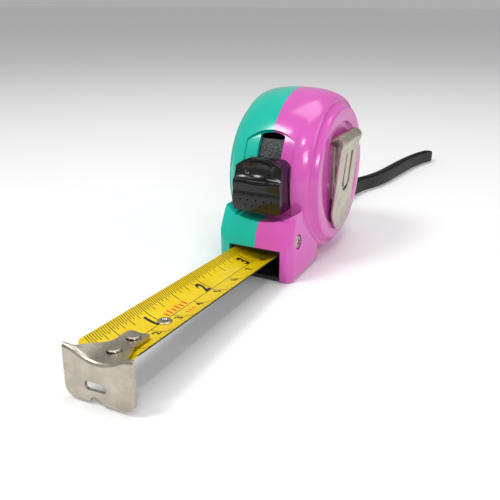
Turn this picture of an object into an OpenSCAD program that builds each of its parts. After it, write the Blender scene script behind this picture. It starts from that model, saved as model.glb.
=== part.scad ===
// Pocket tape measure: two-colour case, thumb lock, belt clip, wrist strap and a steel blade
// that is drawn out and locked. Millimetres, +Z up. The origin is on the flat bottom of the
// case, on the seam between the shells. The blade leaves the case towards -Y and the belt clip
// is on the +X side.

/* [Case] */
// Radius of the round part of the case
case_r = 28; // [27:0.5:30]
// Half width of the case over the raised side rings
case_half_w = 15.8; // [15.6:0.1:17]
// Thickness of the case wall
wall = 2.4; // [2:0.1:2.8]
// Y of the flat face around the mouth
mouth_y = -30; // [-31:0.5:-29]
// Half width of the nose below the lock
nose_half_w = 13.4; // [13:0.1:14]
// Width of the mouth
mouth_w = 17.9; // [17.5:0.1:18.5]
// Height of the mouth above the bottom face
mouth_h = 10.2; // [10:0.1:11]

/* [Blade] */
// Width of the blade
blade_w = 16; // [15.5:0.1:16]
// Thickness of the painted blade
blade_t = 0.25; // [0.2:0.05:0.3]
// How far the middle of the blade lies below its edges
blade_crown = 3.15; // [2.8:0.05:3.3]
// Length of blade that stands out of the mouth
drawn = 76.7; // [70:0.1:80]
// Height of the blade's edges where it leaves the mouth
blade_z = 8.65; // [8.5:0.05:8.8]
// Upward tilt of the drawn blade, degrees
blade_pitch = 3; // [2.5:0.1:3.2]

/* [Hook] */
// Width of the end hook
hook_w = 19.2; // [18:0.1:20]
// Depth of the hook below the blade's edges
hook_drop = 12.3; // [11.5:0.1:12.3]
// Thickness of the hook's plate
hook_t = 0.8; // [0.6:0.1:0.9]
// How far the hook sits turned on its rivets, in degrees
hook_tilt = 1.5; // [0:0.5:1.5]

/* [Lock] */
// Width of the thumb button
button_w = 16.6; // [15:0.1:16.8]

/* [Spool] */
// Outer radius of the wound blade
coil_r = 18.2; // [17:0.1:18.4]
// Outer radius of the drum that the blade is wound on
drum_r = 13.5; // [12.5:0.1:14]
// Radius of the spool's two flanges
flange_r = 20; // [19:0.1:20.2]

/* [Clip] */
// Width of the belt clip
clip_w = 19; // [17:0.5:20]
// Thickness of the clip's spring steel
clip_t = 0.8; // [0.6:0.1:1]
// Outer radius of the clip's rolled top
roll_r = 2.5; // [2.4:0.1:2.8]

/* [Strap] */
// Width of the strap's webbing
strap_w = 5.2; // [5:0.1:7]
// Thickness of the webbing
strap_t = 1.2; // [1:0.1:1.4]

/* [Hidden] */
$fn = 96;

seam_gap = 0.02;                       // each shell stops this far short of the seam
cy = 5.5;                              // Y of the spool's axis
cz = case_r + 0.05;                    // Z of the spool's axis, just clear of the flat foot
inner_r = case_r - wall;               // radius of the round cavity
cavity_half = 12.6;                    // half width of the cavity
ring_r = 22;                           // outer radius of the flat side ring
pocket_r = 17.6;                       // radius of the clip's pocket
pocket_x = case_half_w - 1.2;          // X of the pocket's floor
shoulder = [[2, 0.03], [4, 0.15], [6, 0.32], [8, 0.6], [10, 1.05], [11.8, 1.8], [13, 2.7]];
post_r = 2.6;
screw_bore_r = 1.3;
run_gap = 0.05;                        // radial clearance of a running fit
post_gap = 0.22;                       // radial clearance of the spool on its post
blade_r = (pow(blade_w / 2, 2) + pow(blade_crown, 2)) / (2 * blade_crown);
blade_h = blade_r - blade_crown;       // height of the crown's centre over the blade's edges
rivet_at = [5.7, 12.9];                // distances of the rivets from the hook's inner face
rivet_x = -0.25;                       // the rivets sit a little off the middle
eyelet_at = 25.6;                      // distance of the small eyelet
hook_lift = 0.36;                      // gap between the hook's tongue and the blade
tip_len = 30;                          // stiff length of blade behind the hook
slide_half = 4.2;                      // half width of the lock's slot
lock_low = -44.3;                        // angle of the slider's lower end, level is 0
lock_high = 34;                        // angle of its upper end
slider_out = inner_r - 0.2;
slider_in = slider_out - 1.4;
nose_screw = [-24.3, 12.3];            // Y and Z of the screw in the nose
rear_screw = [27.11, 35.92];           // Y and Z of the screw at the rear
pin_y = 23.7;
pin_z = 11.6;
pin_r = 1.3;
strap_way = -42;                       // angle at which the strap leaves its pocket
clip_y = cy;
leg_x = pocket_x + clip_t;             // X of the clip leg's outer face
roll_x = leg_x - clip_t + roll_r;      // axis of the rolled top
roll_z = 42.3 - roll_r;
tip_x = case_half_w + 0.3;             // X of the leaf's inner face at its free end
leaf_turn = atan2(roll_x + roll_r - clip_t - tip_x, roll_z - 9.5);

// Strap route: X, Y, Z and the turn of the webbing in degrees, 0 lying flat and 90 on edge.
strap_route = [
    [0, 22.4, 10.2, 0], [0, 25.4, 7.5, 0], [0.4, 29, 5.4, 10], [1, 35, 4, 40],
    [1.4, 42, 3.2, 70], [1.2, 50, 2.8, 88], [0.8, 60, 2.8, 90], [0.9, 70, 2.8, 90],
    [2.6, 80, 2.8, 90], [6, 89, 2.8, 90], [8.4, 99, 2.8, 90], [9.8, 110, 2.8, 90],
    [11.3, 122, 2.8, 90], [13.1, 134, 2.8, 90], [15.6, 145, 2.8, 90], [18.2, 152, 2.8, 90],
    [18.6, 155, 2.8, 90], [16.8, 156.6, 2.8, 90], [14.8, 155.4, 2.8, 90], [13.8, 152.6, 2.8, 90],
    [11.6, 146, 2.8, 90], [9.2, 135, 2.8, 90], [7.3, 123, 2.8, 90], [5.8, 111, 2.8, 90],
    [4.2, 100, 2.8, 90], [1.8, 91, 2.8, 90], [-1.6, 82, 2.8, 90], [-3.1, 71, 2.8, 90],
    [-3.2, 60, 2.8, 90], [-2.9, 51, 2.8, 88], [-2.4, 44, 3.4, 72], [-1.6, 38, 4.4, 45],
    [-0.5, 32.5, 7, 15], [0, 28.6, 9.8, 0], [0, 25, 13, 0]];

// Points of an arc from angle a to angle b about a centre.
function arc(c, r, a, b, n = 10) =
    [for (i = [0:n]) c + r * [cos(a + (b - a) * i / n), sin(a + (b - a) * i / n)]];

// Turns its children, drawn about the Z axis, so that they turn about the spool's axis.
module on_axis() {
    translate([0, cy, cz]) rotate([0, 90, 0]) children();
}

// A disc or ring about the spool's axis, from x0 to x1.
module ring(r_out, r_in, x0, x1) {
    on_axis() translate([0, 0, x0]) difference() {
        cylinder(r = r_out, h = x1 - x0);
        if (r_in > 0) translate([0, 0, -1]) cylinder(r = r_in, h = x1 - x0 + 2);
    }
}

// A side view given as [y, z] points, made solid from x0 to x1.
module side_slab(points, x0, x1) {
    translate([x0, 0, 0]) rotate([90, 0, 90]) linear_extrude(height = x1 - x0) polygon(points);
}

// A front view given as [x, z] points, made solid from y0 to y1.
module front_slab(points, y0, y1) {
    translate([0, y1, 0]) rotate([90, 0, 0]) linear_extrude(height = y1 - y0) polygon(points);
}

// Part of a ring about the spool's axis between two angles. Angle 0 points at -Y, 90 at +Z.
module sector(r_out, r_in, a0, a1, half) {
    rim = concat(arc([cy, cz], r_out, 180 - a0, 180 - a1, 24), arc([cy, cz], r_in, 180 - a1, 180 - a0, 24));
    side_slab(rim, -half, half);
}

// Places its children in the blade's own frame: origin between the blade's edges at the mouth,
// -Y along the drawn blade, Z away from the printed face.
module on_blade() {
    translate([0, mouth_y, blade_z]) rotate([-blade_pitch, 0, 0]) children();
}

// A strip that follows the blade's hollow, from distance y0 to y1 and from radius r0 to r1.
module hollow_strip(r1, r0, half, y0, y1) {
    intersection() {
        translate([0, y1, blade_h]) rotate([90, 0, 0]) difference() {
            cylinder(r = r1, h = y1 - y0);
            translate([0, 0, -1]) cylinder(r = r0, h = y1 - y0 + 2);
        }
        translate([-half, y0 - 1, -blade_crown - 3]) cube([2 * half, y1 - y0 + 2, blade_h]);
    }
}

// Outline of the round body from the seam outwards, as [radius, x].
function body_outline() = concat([[0, -0.01], [case_r, -0.01]],
    [for (k = shoulder) [case_r - k[1], k[0]]],
    [[24.3, 13.7], [23.7, 13.9], [ring_r, case_half_w], [pocket_r, case_half_w],
    [pocket_r - 0.6, pocket_x], [0, pocket_x]]);

nose_side = [[mouth_y, 0], [mouth_y, mouth_h], [mouth_y + 2.8, 17.8], [mouth_y + 4.7, 21.6],
    [mouth_y + 7.5, 23], [-8, 23.6], [-8, 0]];
nose_in = [[mouth_y + 1.6, 1.6], [mouth_y + 1.6, mouth_h + 0.6], [mouth_y + 4.6, 16.4],
    [-8, 19], [-8, 1.6]];

// The whole outside of the case on the +X side.
module half_outside() {
    on_axis() rotate_extrude() polygon(body_outline());
    difference() {
        intersection() {
            side_slab(nose_side, 0, nose_half_w);
            linear_extrude(height = 30) polygon(concat([[-1, -8], [-1, mouth_y]],
                arc([nose_half_w - 3, mouth_y + 3], 3, -90, 0), [[nose_half_w, -8]]));
            front_slab(concat([[-1, 0]], arc([nose_half_w - 2, 2], 2, -90, 0, 6),
                arc([nose_half_w - 2.8, 21.4], 1.9, 0, 90, 6), [[-1, 23.3]]), mouth_y - 1, -7);
        }
        // dish that follows the button's lower edge
        front_slab(arc([0, 40.8], 22.9, 180, 360, 48), mouth_y - 3, -6.5);
    }
    // flat foot under the round body
    side_slab([[-12, 0], [16, 0], [20, 3], [-12, 3]], 0, 9);
}

// The hollow inside the case on the +X side.
module half_cavity() {
    // its corner leans inwards, so that the wall stays whole under the crowned shoulder
    on_axis() rotate_extrude() polygon([[0, -1], [inner_r, -1], [inner_r, 9.9],
        [inner_r - 2.4, cavity_half], [0, cavity_half]]);
    side_slab(nose_in, -1, nose_half_w - 1.8);
    // mouth, open to the bottom
    translate([-1, mouth_y - 1, -1]) cube([mouth_w / 2 + 1, 4, mouth_h + 1]);
    translate([-1, mouth_y + 1.6, -1]) cube([11.1, 16, mouth_h + 1]);
    // channel that lets the stiff end of the blade and its eyelet run in under the spool
    side_slab([[-14, 1.9], [-14, 12], [3, 9], [3, 2.4], [-8, 1.9]], -1, 8.8);
}

// Walls inside the cavity: screw bosses, the post's seat and the strap pocket's wall.
module half_bosses() {
    intersection() {
        union() {
            translate([0, nose_screw[0], nose_screw[1]]) rotate([0, 90, 0])
                cylinder(r = 2.05, h = cavity_half);
            translate([0, rear_screw[0], rear_screw[1]]) rotate([0, 90, 0])
                cylinder(r = 2.2, h = cavity_half + 0.1);
            ring(4.5, 0, 10.5, cavity_half + 0.1);
            translate([0, pin_y, pin_z]) rotate([0, 90, 0]) cylinder(r = 6.2, h = 6.4);
        }
        union() {
            on_axis() cylinder(r = case_r - 0.4, h = cavity_half + 0.2);
            side_slab(nose_side, 0, nose_half_w - 1);
        }
        translate([0, -60, 0]) cube([20, 120, 80]);
    }
}

// Everything cut through the finished half: lock recess and slot, strap pocket, screw holes.
module half_cuts() {
    intersection() {
        ring(case_r + 10, case_r - 1.2, -1, 8.5);
        front_slab(concat([[-1, 19], [8.5, 19], [8.5, 41.9]], arc([0, 33.2], 12.2, 45.8, 94)),
            mouth_y - 2, cy);
    }
    front_slab(concat([[-1, 21], [slide_half, 21], [slide_half, 43.6]], arc([0, 33.2], 11.2, 68, 95)),
        mouth_y - 2, cy - 5);
    // strap pocket, open at the lower rear
    pocket_end = [pin_y, pin_z] + 12 * [cos(strap_way), sin(strap_way)];
    side_slab(concat(arc([pin_y, pin_z], 3.4, strap_way + 90, strap_way + 270, 16),
        arc(pocket_end, 3.4, strap_way - 90, strap_way + 90, 1)), -1, 4.8);
    for (p = [nose_screw, rear_screw])
        translate([-1, p[0], p[1]]) rotate([0, 90, 0]) cylinder(r = screw_bore_r, h = 30);
    ring(screw_bore_r + 0.2, 0, -1, 30);
    ring(post_r + 0.01, 0, -1, 12.51);
    translate([-1, pin_y, pin_z]) rotate([0, 90, 0]) cylinder(r = pin_r, h = 7);
}

module half_shell() {
    intersection() {
        difference() {
            union() {
                difference() {
                    half_outside();
                    half_cavity();
                }
                half_bosses();
            }
            half_cuts();
        }
        translate([seam_gap, -60, 0]) cube([30, 120, 80]);
    }
}

// Plain shell without the clip and its screw heads.
module left_shell() {
    color("#00bfa8") mirror([1, 0, 0]) half_shell();
}

// The shell that carries the clip has counterbores for the heads of the case screws.
module right_shell() {
    color("#d65eba") difference() {
        half_shell();
        translate([12, nose_screw[0], nose_screw[1]]) rotate([0, 90, 0]) cylinder(r = 2.5, h = 4);
        translate([13.4, rear_screw[0], rear_screw[1]]) rotate([0, 90, 0]) cylinder(r = 2.5, h = 4);
    }
}

// Black insert that lines the mouth and carries the blade into the case.
module mouth_guide() {
    inside = mouth_w / 2 - 0.55;
    color("#111214") difference() {
        union() {
            translate([-10, mouth_y + 1.7, 0]) cube([20, 14, mouth_h - 0.05]);
            translate([0.05 - mouth_w / 2, mouth_y + 0.4, 0]) cube([mouth_w - 0.1, 2, mouth_h - 0.05]);
        }
        translate([-inside, mouth_y - 1, 1.2]) cube([2 * inside, 30, mouth_h - 1.8]);
        // window for the brake
        translate([-7, mouth_y + 9, 5]) cube([14, 20, 8]);
    }
}

// Drum with the left flange.
module spool_drum() {
    color("#303236") {
        ring(flange_r, post_r + post_gap, -9.6, -8.6);
        ring(drum_r, drum_r - 1.2, -8.6, 8.55);
    }
}

// Right flange, which closes the drum.
module spool_cover() {
    color("#3a3d42") {
        ring(flange_r, post_r + post_gap, 8.6, 9.6);
    }
}

// Flat spring wound inside the drum.
module power_spring() {
    turns = 9;
    steps = 20;
    r0 = post_r + 0.5;
    r1 = drum_r - 1.5;
    function spiral(r, k) = [for (i = [0:turns * steps])
        let (q = k > 0 ? i : turns * steps - i)
        (r + (r1 - r0) * q / (turns * steps)) * [cos(360 * q / steps), sin(360 * q / steps)]];
    color("#8d9196") on_axis() translate([0, 0, -6.5]) linear_extrude(height = 13)
        polygon(concat(spiral(r0, 1), spiral(r0 - 0.25, -1)));
}

// Fixed post that the spool turns on.
module centre_post() {
    color("#b9bcc0") difference() {
        ring(post_r, 0, -12.5, 12.5);
        ring(screw_bore_r - 0.2, 0, -13, 13);
    }
}

module spool_washers() {
    color("#e8e8e4") for (s = [-1, 1])
        ring(5, post_r + run_gap, s * 10.05 - 0.35, s * 10.05 + 0.35);
}

// The wound part of the blade.
module blade_coil() {
    color("#e8c800") ring(coil_r, drum_r + 0.1, -blade_w / 2, blade_w / 2);
}

// Blade from the stiff tip, through the mouth, to the bottom of the coil.
module blade_run() {
    color("#ebcd00") {
        on_blade() hollow_strip(blade_r + blade_t, blade_r, blade_w / 2, tip_len - drawn, 16);
        // flattened length that climbs to the coil
        side_slab(concat(arc([6, coil_r + 30], 42.3, 238, 262, 8), arc([6, coil_r + 30], 42.6, 262, 238, 8)),
            -6, 6);
    }
}

// Stiff end of the blade that carries the hook.
module blade_tip() {
    color("#ebcd00") on_blade() difference() {
        hollow_strip(blade_r + blade_t, blade_r, blade_w / 2, 0.9 - drawn, tip_len - drawn);
        for (d = rivet_at) translate([rivet_x, d - drawn, -8]) cylinder(r = 1.25, h = 8);
        translate([0, eyelet_at - drawn, -8]) cylinder(r = 1.25, h = 8);
        // clipped corners, which leave room for the hook's wings
        for (s = [-1, 1]) translate([0, -drawn, -8]) linear_extrude(height = 12)
            polygon([[s * 6.2, 0.3], [s * 9.5, 5.25], [s * 9.5, 0.3]]);
    }
}

module blade_eyelet() {
    color("#b7ae98") on_blade() translate([0, eyelet_at - drawn, -blade_crown]) difference() {
        union() {
            translate([0, 0, -0.6]) cylinder(r = 1.2, h = 1);
            translate([0, 0, 0.12]) cylinder(r = 1.9, h = 0.35);
            translate([0, 0, -0.75]) cylinder(r = 1.9, h = 0.35);
        }
        translate([0, 0, -2]) cylinder(r = 0.7, h = 4);
    }
}

// Two rivets that hold the hook and let it slide by its own thickness.
module hook_rivets() {
    color("#bdb29c") on_blade() for (d = rivet_at)
        translate([rivet_x, d - drawn, -blade_crown]) {
            translate([0, 0, -0.6]) cylinder(r = 1.15, h = 2.1);
            translate([0, 0, 1.26]) cylinder(r = 1.75, h = 0.45);
            translate([0, 0, 1.7]) cylinder(r1 = 1.75, r2 = 1.5, h = 0.2);
            translate([0, 0, -0.95]) cylinder(r = 2, h = 0.5);
        }
}

// Height of the underside of the hook's top edge: it follows the hollow and flattens outwards.
function wing(x) = let (a = abs(x), r = blade_r - hook_lift)
    a < 5.5 ? blade_h - sqrt(r * r - a * a)
    : blade_h - sqrt(r * r - 30.25) + 0.549 * (a - 5.5) - 0.06 * pow(a - 5.5, 2);

// Points along that edge from the right end to the left end, raised by up.
function wing_line(up) = [for (i = [16:-1:-16]) [i * hook_w / 32, wing(i * hook_w / 32) + up]];

// Half outline of the tongue: distance from the middle and from the face plate.
tongue = concat([[8.4, 0.1], [7, 0.65], [6.5, 1.6], [5.9, 3.1], [5, 5], [4.2, 6.4], [3.6, 7.7],
    [3.15, 9], [3, 10.4], [3.1, 12.4]], arc([1.7, 14.3], 1.4, 0, 90, 5));

// Face plate with its measuring slot and notch, and the riveted tongue along the blade.
module end_hook() {
    half = hook_w / 2;
    tip = len(tongue) - 1;
    color("#bfb7a2") on_blade()
        translate([0, -drawn, -2.2]) rotate([0, -hook_tilt, 0]) translate([0, 0, 2.2]) difference() {
            union() {
                rotate([90, 0, 0]) linear_extrude(height = hook_t)
                    polygon(concat(arc([3 - half, 3 - hook_drop], 3, 180, 270, 6),
                        arc([half - 3, 3 - hook_drop], 3, -90, 0, 6), wing_line(hook_t - 0.1)));
                intersection() {
                    translate([0, 17, 0]) rotate([90, 0, 0]) linear_extrude(height = 17 + hook_t / 2)
                        polygon(concat([for (i = [32:-1:0]) wing_line(0)[i]], wing_line(hook_t)));
                    translate([0, 0, -9]) linear_extrude(height = 16)
                        polygon(concat([[-half + 0.1, -2], [half - 0.1, -2], [half - 0.1, 0]], tongue,
                            [for (i = [tip:-1:0]) [-tongue[i][0], tongue[i][1]]], [[0.1 - half, 0]]));
                }
            }
            // slots that let the hook slide on its rivets
            for (d = rivet_at) translate([rivet_x, d, -8]) {
                for (s = [-0.9, 0]) translate([0, s, 0]) cylinder(r = 1.25, h = 16);
                translate([-1.25, -0.9, 0]) cube([2.5, 0.9, 16]);
            }
            // slot and notch in the face plate
            rotate([90, 0, 0]) translate([0, 0, -2]) linear_extrude(height = 6) {
                polygon(concat([[-3.9, -8.6], [-3.1, -9.3]], arc([1.2, -8.25], 1.05, -90, 90, 8),
                    [[-3.2, -7.2], [-3.7, -7.6]]));
                polygon([[-3, -hook_drop - 1], [-2.7, 0.1 - hook_drop], [-2.3, 1 - hook_drop],
                    [-1.4, 1.5 - hook_drop], [-0.5, 1.3 - hook_drop], [1.2, 0.1 - hook_drop],
                    [2.4, -hook_drop - 1]]);
            }
        }
}

// Thumb button: a dished upper pad, a ridge and a crowned lower pad.
module lock_button() {
    r0 = case_r - 1.1;
    side = concat(arc([cy, cz], r0, 180 + 14, 180 - 19.5, 12),
        [[mouth_y + 4.4, 38.6], [mouth_y + 3.2, 38], [mouth_y + 2.9, 35], [mouth_y + 2.4, 32.4],
        [mouth_y + 1, 31.4], [mouth_y + 0.8, 30.2], [mouth_y + 1.2, 29]],
        arc([mouth_y + 10, 25.6], 9.1, 164, 212, 8));
    color("#0c0c0e") intersection() {
        side_slab(side, -button_w, button_w);
        front_slab(concat(arc([0, 40.8], 20.8, 247, 293, 12),
            [[button_w / 2, 22.8], [button_w / 2 - 0.4, 35.3]], arc([0, 27], 11.6, 48, 132, 12),
            [[0.4 - button_w / 2, 35.3], [-button_w / 2, 22.8]]), mouth_y - 2, cy);
    }
}

// Curved tongue behind the button, with the stem that carries the button through the slot.
module lock_slider() {
    color("#1a1b1d") {
        sector(slider_out, slider_in, lock_low + 5, lock_high, 6);
        sector(case_r - 1.12, slider_out - 0.1, -9, 15, slide_half - 0.2);
    }
}

// Wedge at the slider's lower end that presses on the blade.
module brake_pad() {
    color("#2a2b2e") sector(slider_out, slider_in, lock_low, lock_low + 4.9, 6.6);
}

// Leaf spring that the slider clicks over.
module detent_spring() {
    color("#9a9ea3") sector(slider_in - 0.1, slider_in - 0.4, -8, 22, 3.4);
}

// Leg of the clip on the floor of the pocket, and the inner part of its rolled top.
module clip_base() {
    half = clip_w / 2;
    color("#bdb59f") difference() {
        union() {
            translate([pocket_x, clip_y - 6, 20]) cube([clip_t, 12, roll_z - 20]);
            intersection() {
                translate([roll_x, clip_y + half, roll_z]) rotate([90, 0, 0]) difference() {
                    cylinder(r = roll_r, h = clip_w);
                    translate([0, 0, -1]) cylinder(r = roll_r - clip_t, h = clip_w + 2);
                }
                translate([roll_x - 5, clip_y - half - 1, roll_z]) cube([5, clip_w + 2, 5]);
            }
        }
        ring(screw_bore_r + 0.2, 0, 0, 30);
    }
}

// Outer leaf of the clip with its punched tongue and rounded free end, and the outer part of the
// rolled top. A gap of a few degrees in the roll leaves room for the leaf to open.
module clip_leaf() {
    half = clip_w / 2;
    stop = 10;
    leaf_len = roll_z - 8;
    lean = [-sin(leaf_turn), -cos(leaf_turn)];
    out = concat(arc([roll_x, roll_z], roll_r, 90 - stop, -leaf_turn, 12),
        [[roll_x, roll_z] + roll_r * [cos(leaf_turn), -sin(leaf_turn)] + leaf_len * lean]);
    in = concat([[roll_x, roll_z] + (roll_r - clip_t) * [cos(leaf_turn), -sin(leaf_turn)] + leaf_len * lean],
        arc([roll_x, roll_z], roll_r - clip_t, -leaf_turn, 90 - stop, 12));
    tip_z = roll_z + (half - leaf_len) * cos(leaf_turn);
    slot_z = roll_z - 14;
    color("#c2baa4") intersection() {
        front_slab(concat(out, in), clip_y - half - 1, clip_y + half + 1);
        side_slab(concat([[clip_y - half, roll_z + 9]], arc([clip_y, tip_z], half, 180, 360, 20),
            [[clip_y + half, roll_z + 9]]), 0, 40);
        difference() {
            translate([0, -40, 0]) cube([40, 80, 80]);
            difference() {
                side_slab(concat([[clip_y + 4.3, roll_z - 4], [clip_y - 4.3, roll_z - 4]],
                    arc([clip_y, slot_z], 4.3, 180, 360, 12)), 1, 39);
                side_slab(concat([[clip_y + 2.6, roll_z - 3], [clip_y - 2.6, roll_z - 3]],
                    arc([clip_y, slot_z], 2.6, 180, 360, 12)), 0, 40);
            }
        }
    }
}

module screw(head_r, head_h, shank_r, length) {
    difference() {
        union() {
            translate([0, 0, -head_h]) cylinder(r = head_r, h = head_h);
            translate([0, 0, -length]) cylinder(r = shank_r, h = length);
        }
        for (a = [0, 90]) rotate([0, 0, a])
            translate([-head_r * 0.6, -0.3, -head_h * 0.6]) cube([head_r * 1.2, 0.6, head_h]);
    }
}

// Screw through the clip's leg and the shell into the centre post.
module clip_screw() {
    color("#a9a18c") translate([leg_x + 1.1, cy, cz]) rotate([0, 90, 0])
        screw(2.6, 1.08, screw_bore_r - 0.22, 11);
}

// Screws that hold the two shells together.
module case_screws() {
    color("#b5ad98") {
        translate([12.95, nose_screw[0], nose_screw[1]]) rotate([0, 90, 0])
            screw(2.2, 0.9, screw_bore_r - 0.05, 20);
        translate([14.4, rear_screw[0], rear_screw[1]]) rotate([0, 90, 0])
            screw(2.2, 0.9, screw_bore_r - 0.05, 20);
    }
}

// Steel pin across the pocket at the lower rear, which holds the strap.
module strap_pin() {
    color("#aeb0b2") translate([-5.9, pin_y, pin_z]) rotate([0, 90, 0]) cylinder(r = pin_r - 0.01, h = 11.8);
}

// Catmull-Rom point between route points i and i + 1, and the turn of the webbing there.
function route_at(i, t) = let (n = len(strap_route) - 1,
    p = strap_route[max(i - 1, 0)], q = strap_route[i],
    r = strap_route[min(i + 1, n)], s = strap_route[min(i + 2, n)])
    0.5 * (2 * q + (r - p) * t + (2 * p - 5 * q + 4 * r - s) * t * t + (3 * q - p - 3 * r + s) * t * t * t);
function unit(v) = v / norm(v);

// Webbing loop, swept along its route.
module wrist_strap() {
    last = len(strap_route) - 2;
    stops = concat([for (i = [0:last]) for (t = [0, 0.5]) [i, t]], [[last, 1]]);
    h = strap_w / 2;
    e = strap_t / 2;
    section = [[h, 0.4 * e], [h - 0.4, e], [0.4 - h, e], [-h, 0.4 * e],
        [-h, -0.4 * e], [0.4 - h, -e], [h - 0.4, -e], [h, -0.4 * e]];
    rings = [for (k = stops) let (
        at = route_at(k[0], k[1]),
        d = k[1] < 1 ? route_at(k[0], k[1] + 0.02) - at : at - route_at(k[0], 0.98),
        along = unit([d[0], d[1], d[2]]),
        lean = [cos(at[3]), 0, sin(at[3])],
        wide = unit(lean - (lean * along) * along),
        thick = cross(along, wide))
        [for (c = section) [at[0], at[1], at[2]] + c[0] * wide + c[1] * thick]];
    m = len(section);
    n = len(rings);
    color("#17181a") polyhedron(points = [for (g = rings) for (p = g) p],
        faces = concat([[for (j = [0:m - 1]) j]],
            [for (i = [0:n - 2]) for (j = [0:m - 1]) let (a = i * m + j, b = i * m + (j + 1) % m)
                each [[a, a + m, b], [b, a + m, b + m]]],
            [[for (j = [m - 1:-1:0]) (n - 1) * m + j]]));
}

left_shell();
right_shell();
mouth_guide();
spool_drum();
spool_cover();
power_spring();
centre_post();
spool_washers();
blade_coil();
blade_run();
blade_tip();
blade_eyelet();
hook_rivets();
end_hook();
lock_button();
lock_slider();
brake_pad();
detent_spring();
clip_base();
clip_leaf();
clip_screw();
case_screws();
strap_pin();
wrist_strap();
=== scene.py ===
"""Pocket tape measure: two-colour case, thumb lock, belt clip, wrist strap and a drawn blade.

Shapes are modelled in millimetres in the row's frame and turned into metres when a piece is
finished. The blade leaves the case towards -Y, the clip is on +X and +Z is up.
"""
from __future__ import annotations

import logging
import math
from dataclasses import dataclass, field
from enum import Enum
from typing import Callable, Sequence

import bpy
from mathutils import Matrix, Vector

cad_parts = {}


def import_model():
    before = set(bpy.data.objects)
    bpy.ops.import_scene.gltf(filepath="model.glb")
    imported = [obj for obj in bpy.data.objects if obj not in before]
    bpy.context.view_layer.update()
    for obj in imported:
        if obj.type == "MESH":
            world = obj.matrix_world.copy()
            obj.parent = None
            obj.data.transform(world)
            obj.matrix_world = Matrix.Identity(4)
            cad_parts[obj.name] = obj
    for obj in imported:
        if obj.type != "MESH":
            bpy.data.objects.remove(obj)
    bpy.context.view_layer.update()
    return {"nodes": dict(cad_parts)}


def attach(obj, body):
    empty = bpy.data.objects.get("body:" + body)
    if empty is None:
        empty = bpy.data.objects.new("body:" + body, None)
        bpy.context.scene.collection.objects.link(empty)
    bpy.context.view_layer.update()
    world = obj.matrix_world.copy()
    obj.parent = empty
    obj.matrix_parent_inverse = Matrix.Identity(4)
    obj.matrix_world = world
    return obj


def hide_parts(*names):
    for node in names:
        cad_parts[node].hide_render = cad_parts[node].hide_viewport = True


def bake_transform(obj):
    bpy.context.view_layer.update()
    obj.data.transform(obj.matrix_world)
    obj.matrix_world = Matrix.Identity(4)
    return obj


LOG = logging.getLogger("tape_measure")
MM = 0.001
INCH = 25.4

Point2 = tuple[float, float]
Point3 = tuple[float, float, float]
Colour = tuple[float, float, float]


class Axis(Enum):
    """The axis along which an outline is pulled into a solid."""

    X = 0
    Y = 1
    Z = 2


class Join(Enum):
    """How one solid acts on another."""

    ADD = "UNION"
    CUT = "DIFFERENCE"
    KEEP = "INTERSECT"


class Hand(Enum):
    """The side of the seam that a shell is on."""

    CLIP = 1
    PLAIN = -1


def arc(centre: Point2, radius: float, start: float, end: float, steps: int = 10) -> list[Point2]:
    """Gives points along an arc.

    Args:
        centre: Centre of the arc.
        radius: Its radius.
        start: First angle in degrees.
        end: Last angle in degrees.
        steps: Number of straight stretches.

    Returns:
        The points, both ends included.
    """
    turns = [math.radians(start + (end - start) * i / steps) for i in range(steps + 1)]
    return [(centre[0] + radius * math.cos(a), centre[1] + radius * math.sin(a)) for a in turns]


def ease(low: float, high: float, value: float) -> float:
    """Rises smoothly from 0 at low to 1 at high.

    Args:
        low: Where the rise starts.
        high: Where it ends.
        value: The place asked for.

    Returns:
        A number from 0 to 1.
    """
    t = min(max((value - low) / (high - low), 0.0), 1.0)
    return t * t * (3 - 2 * t)


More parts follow.
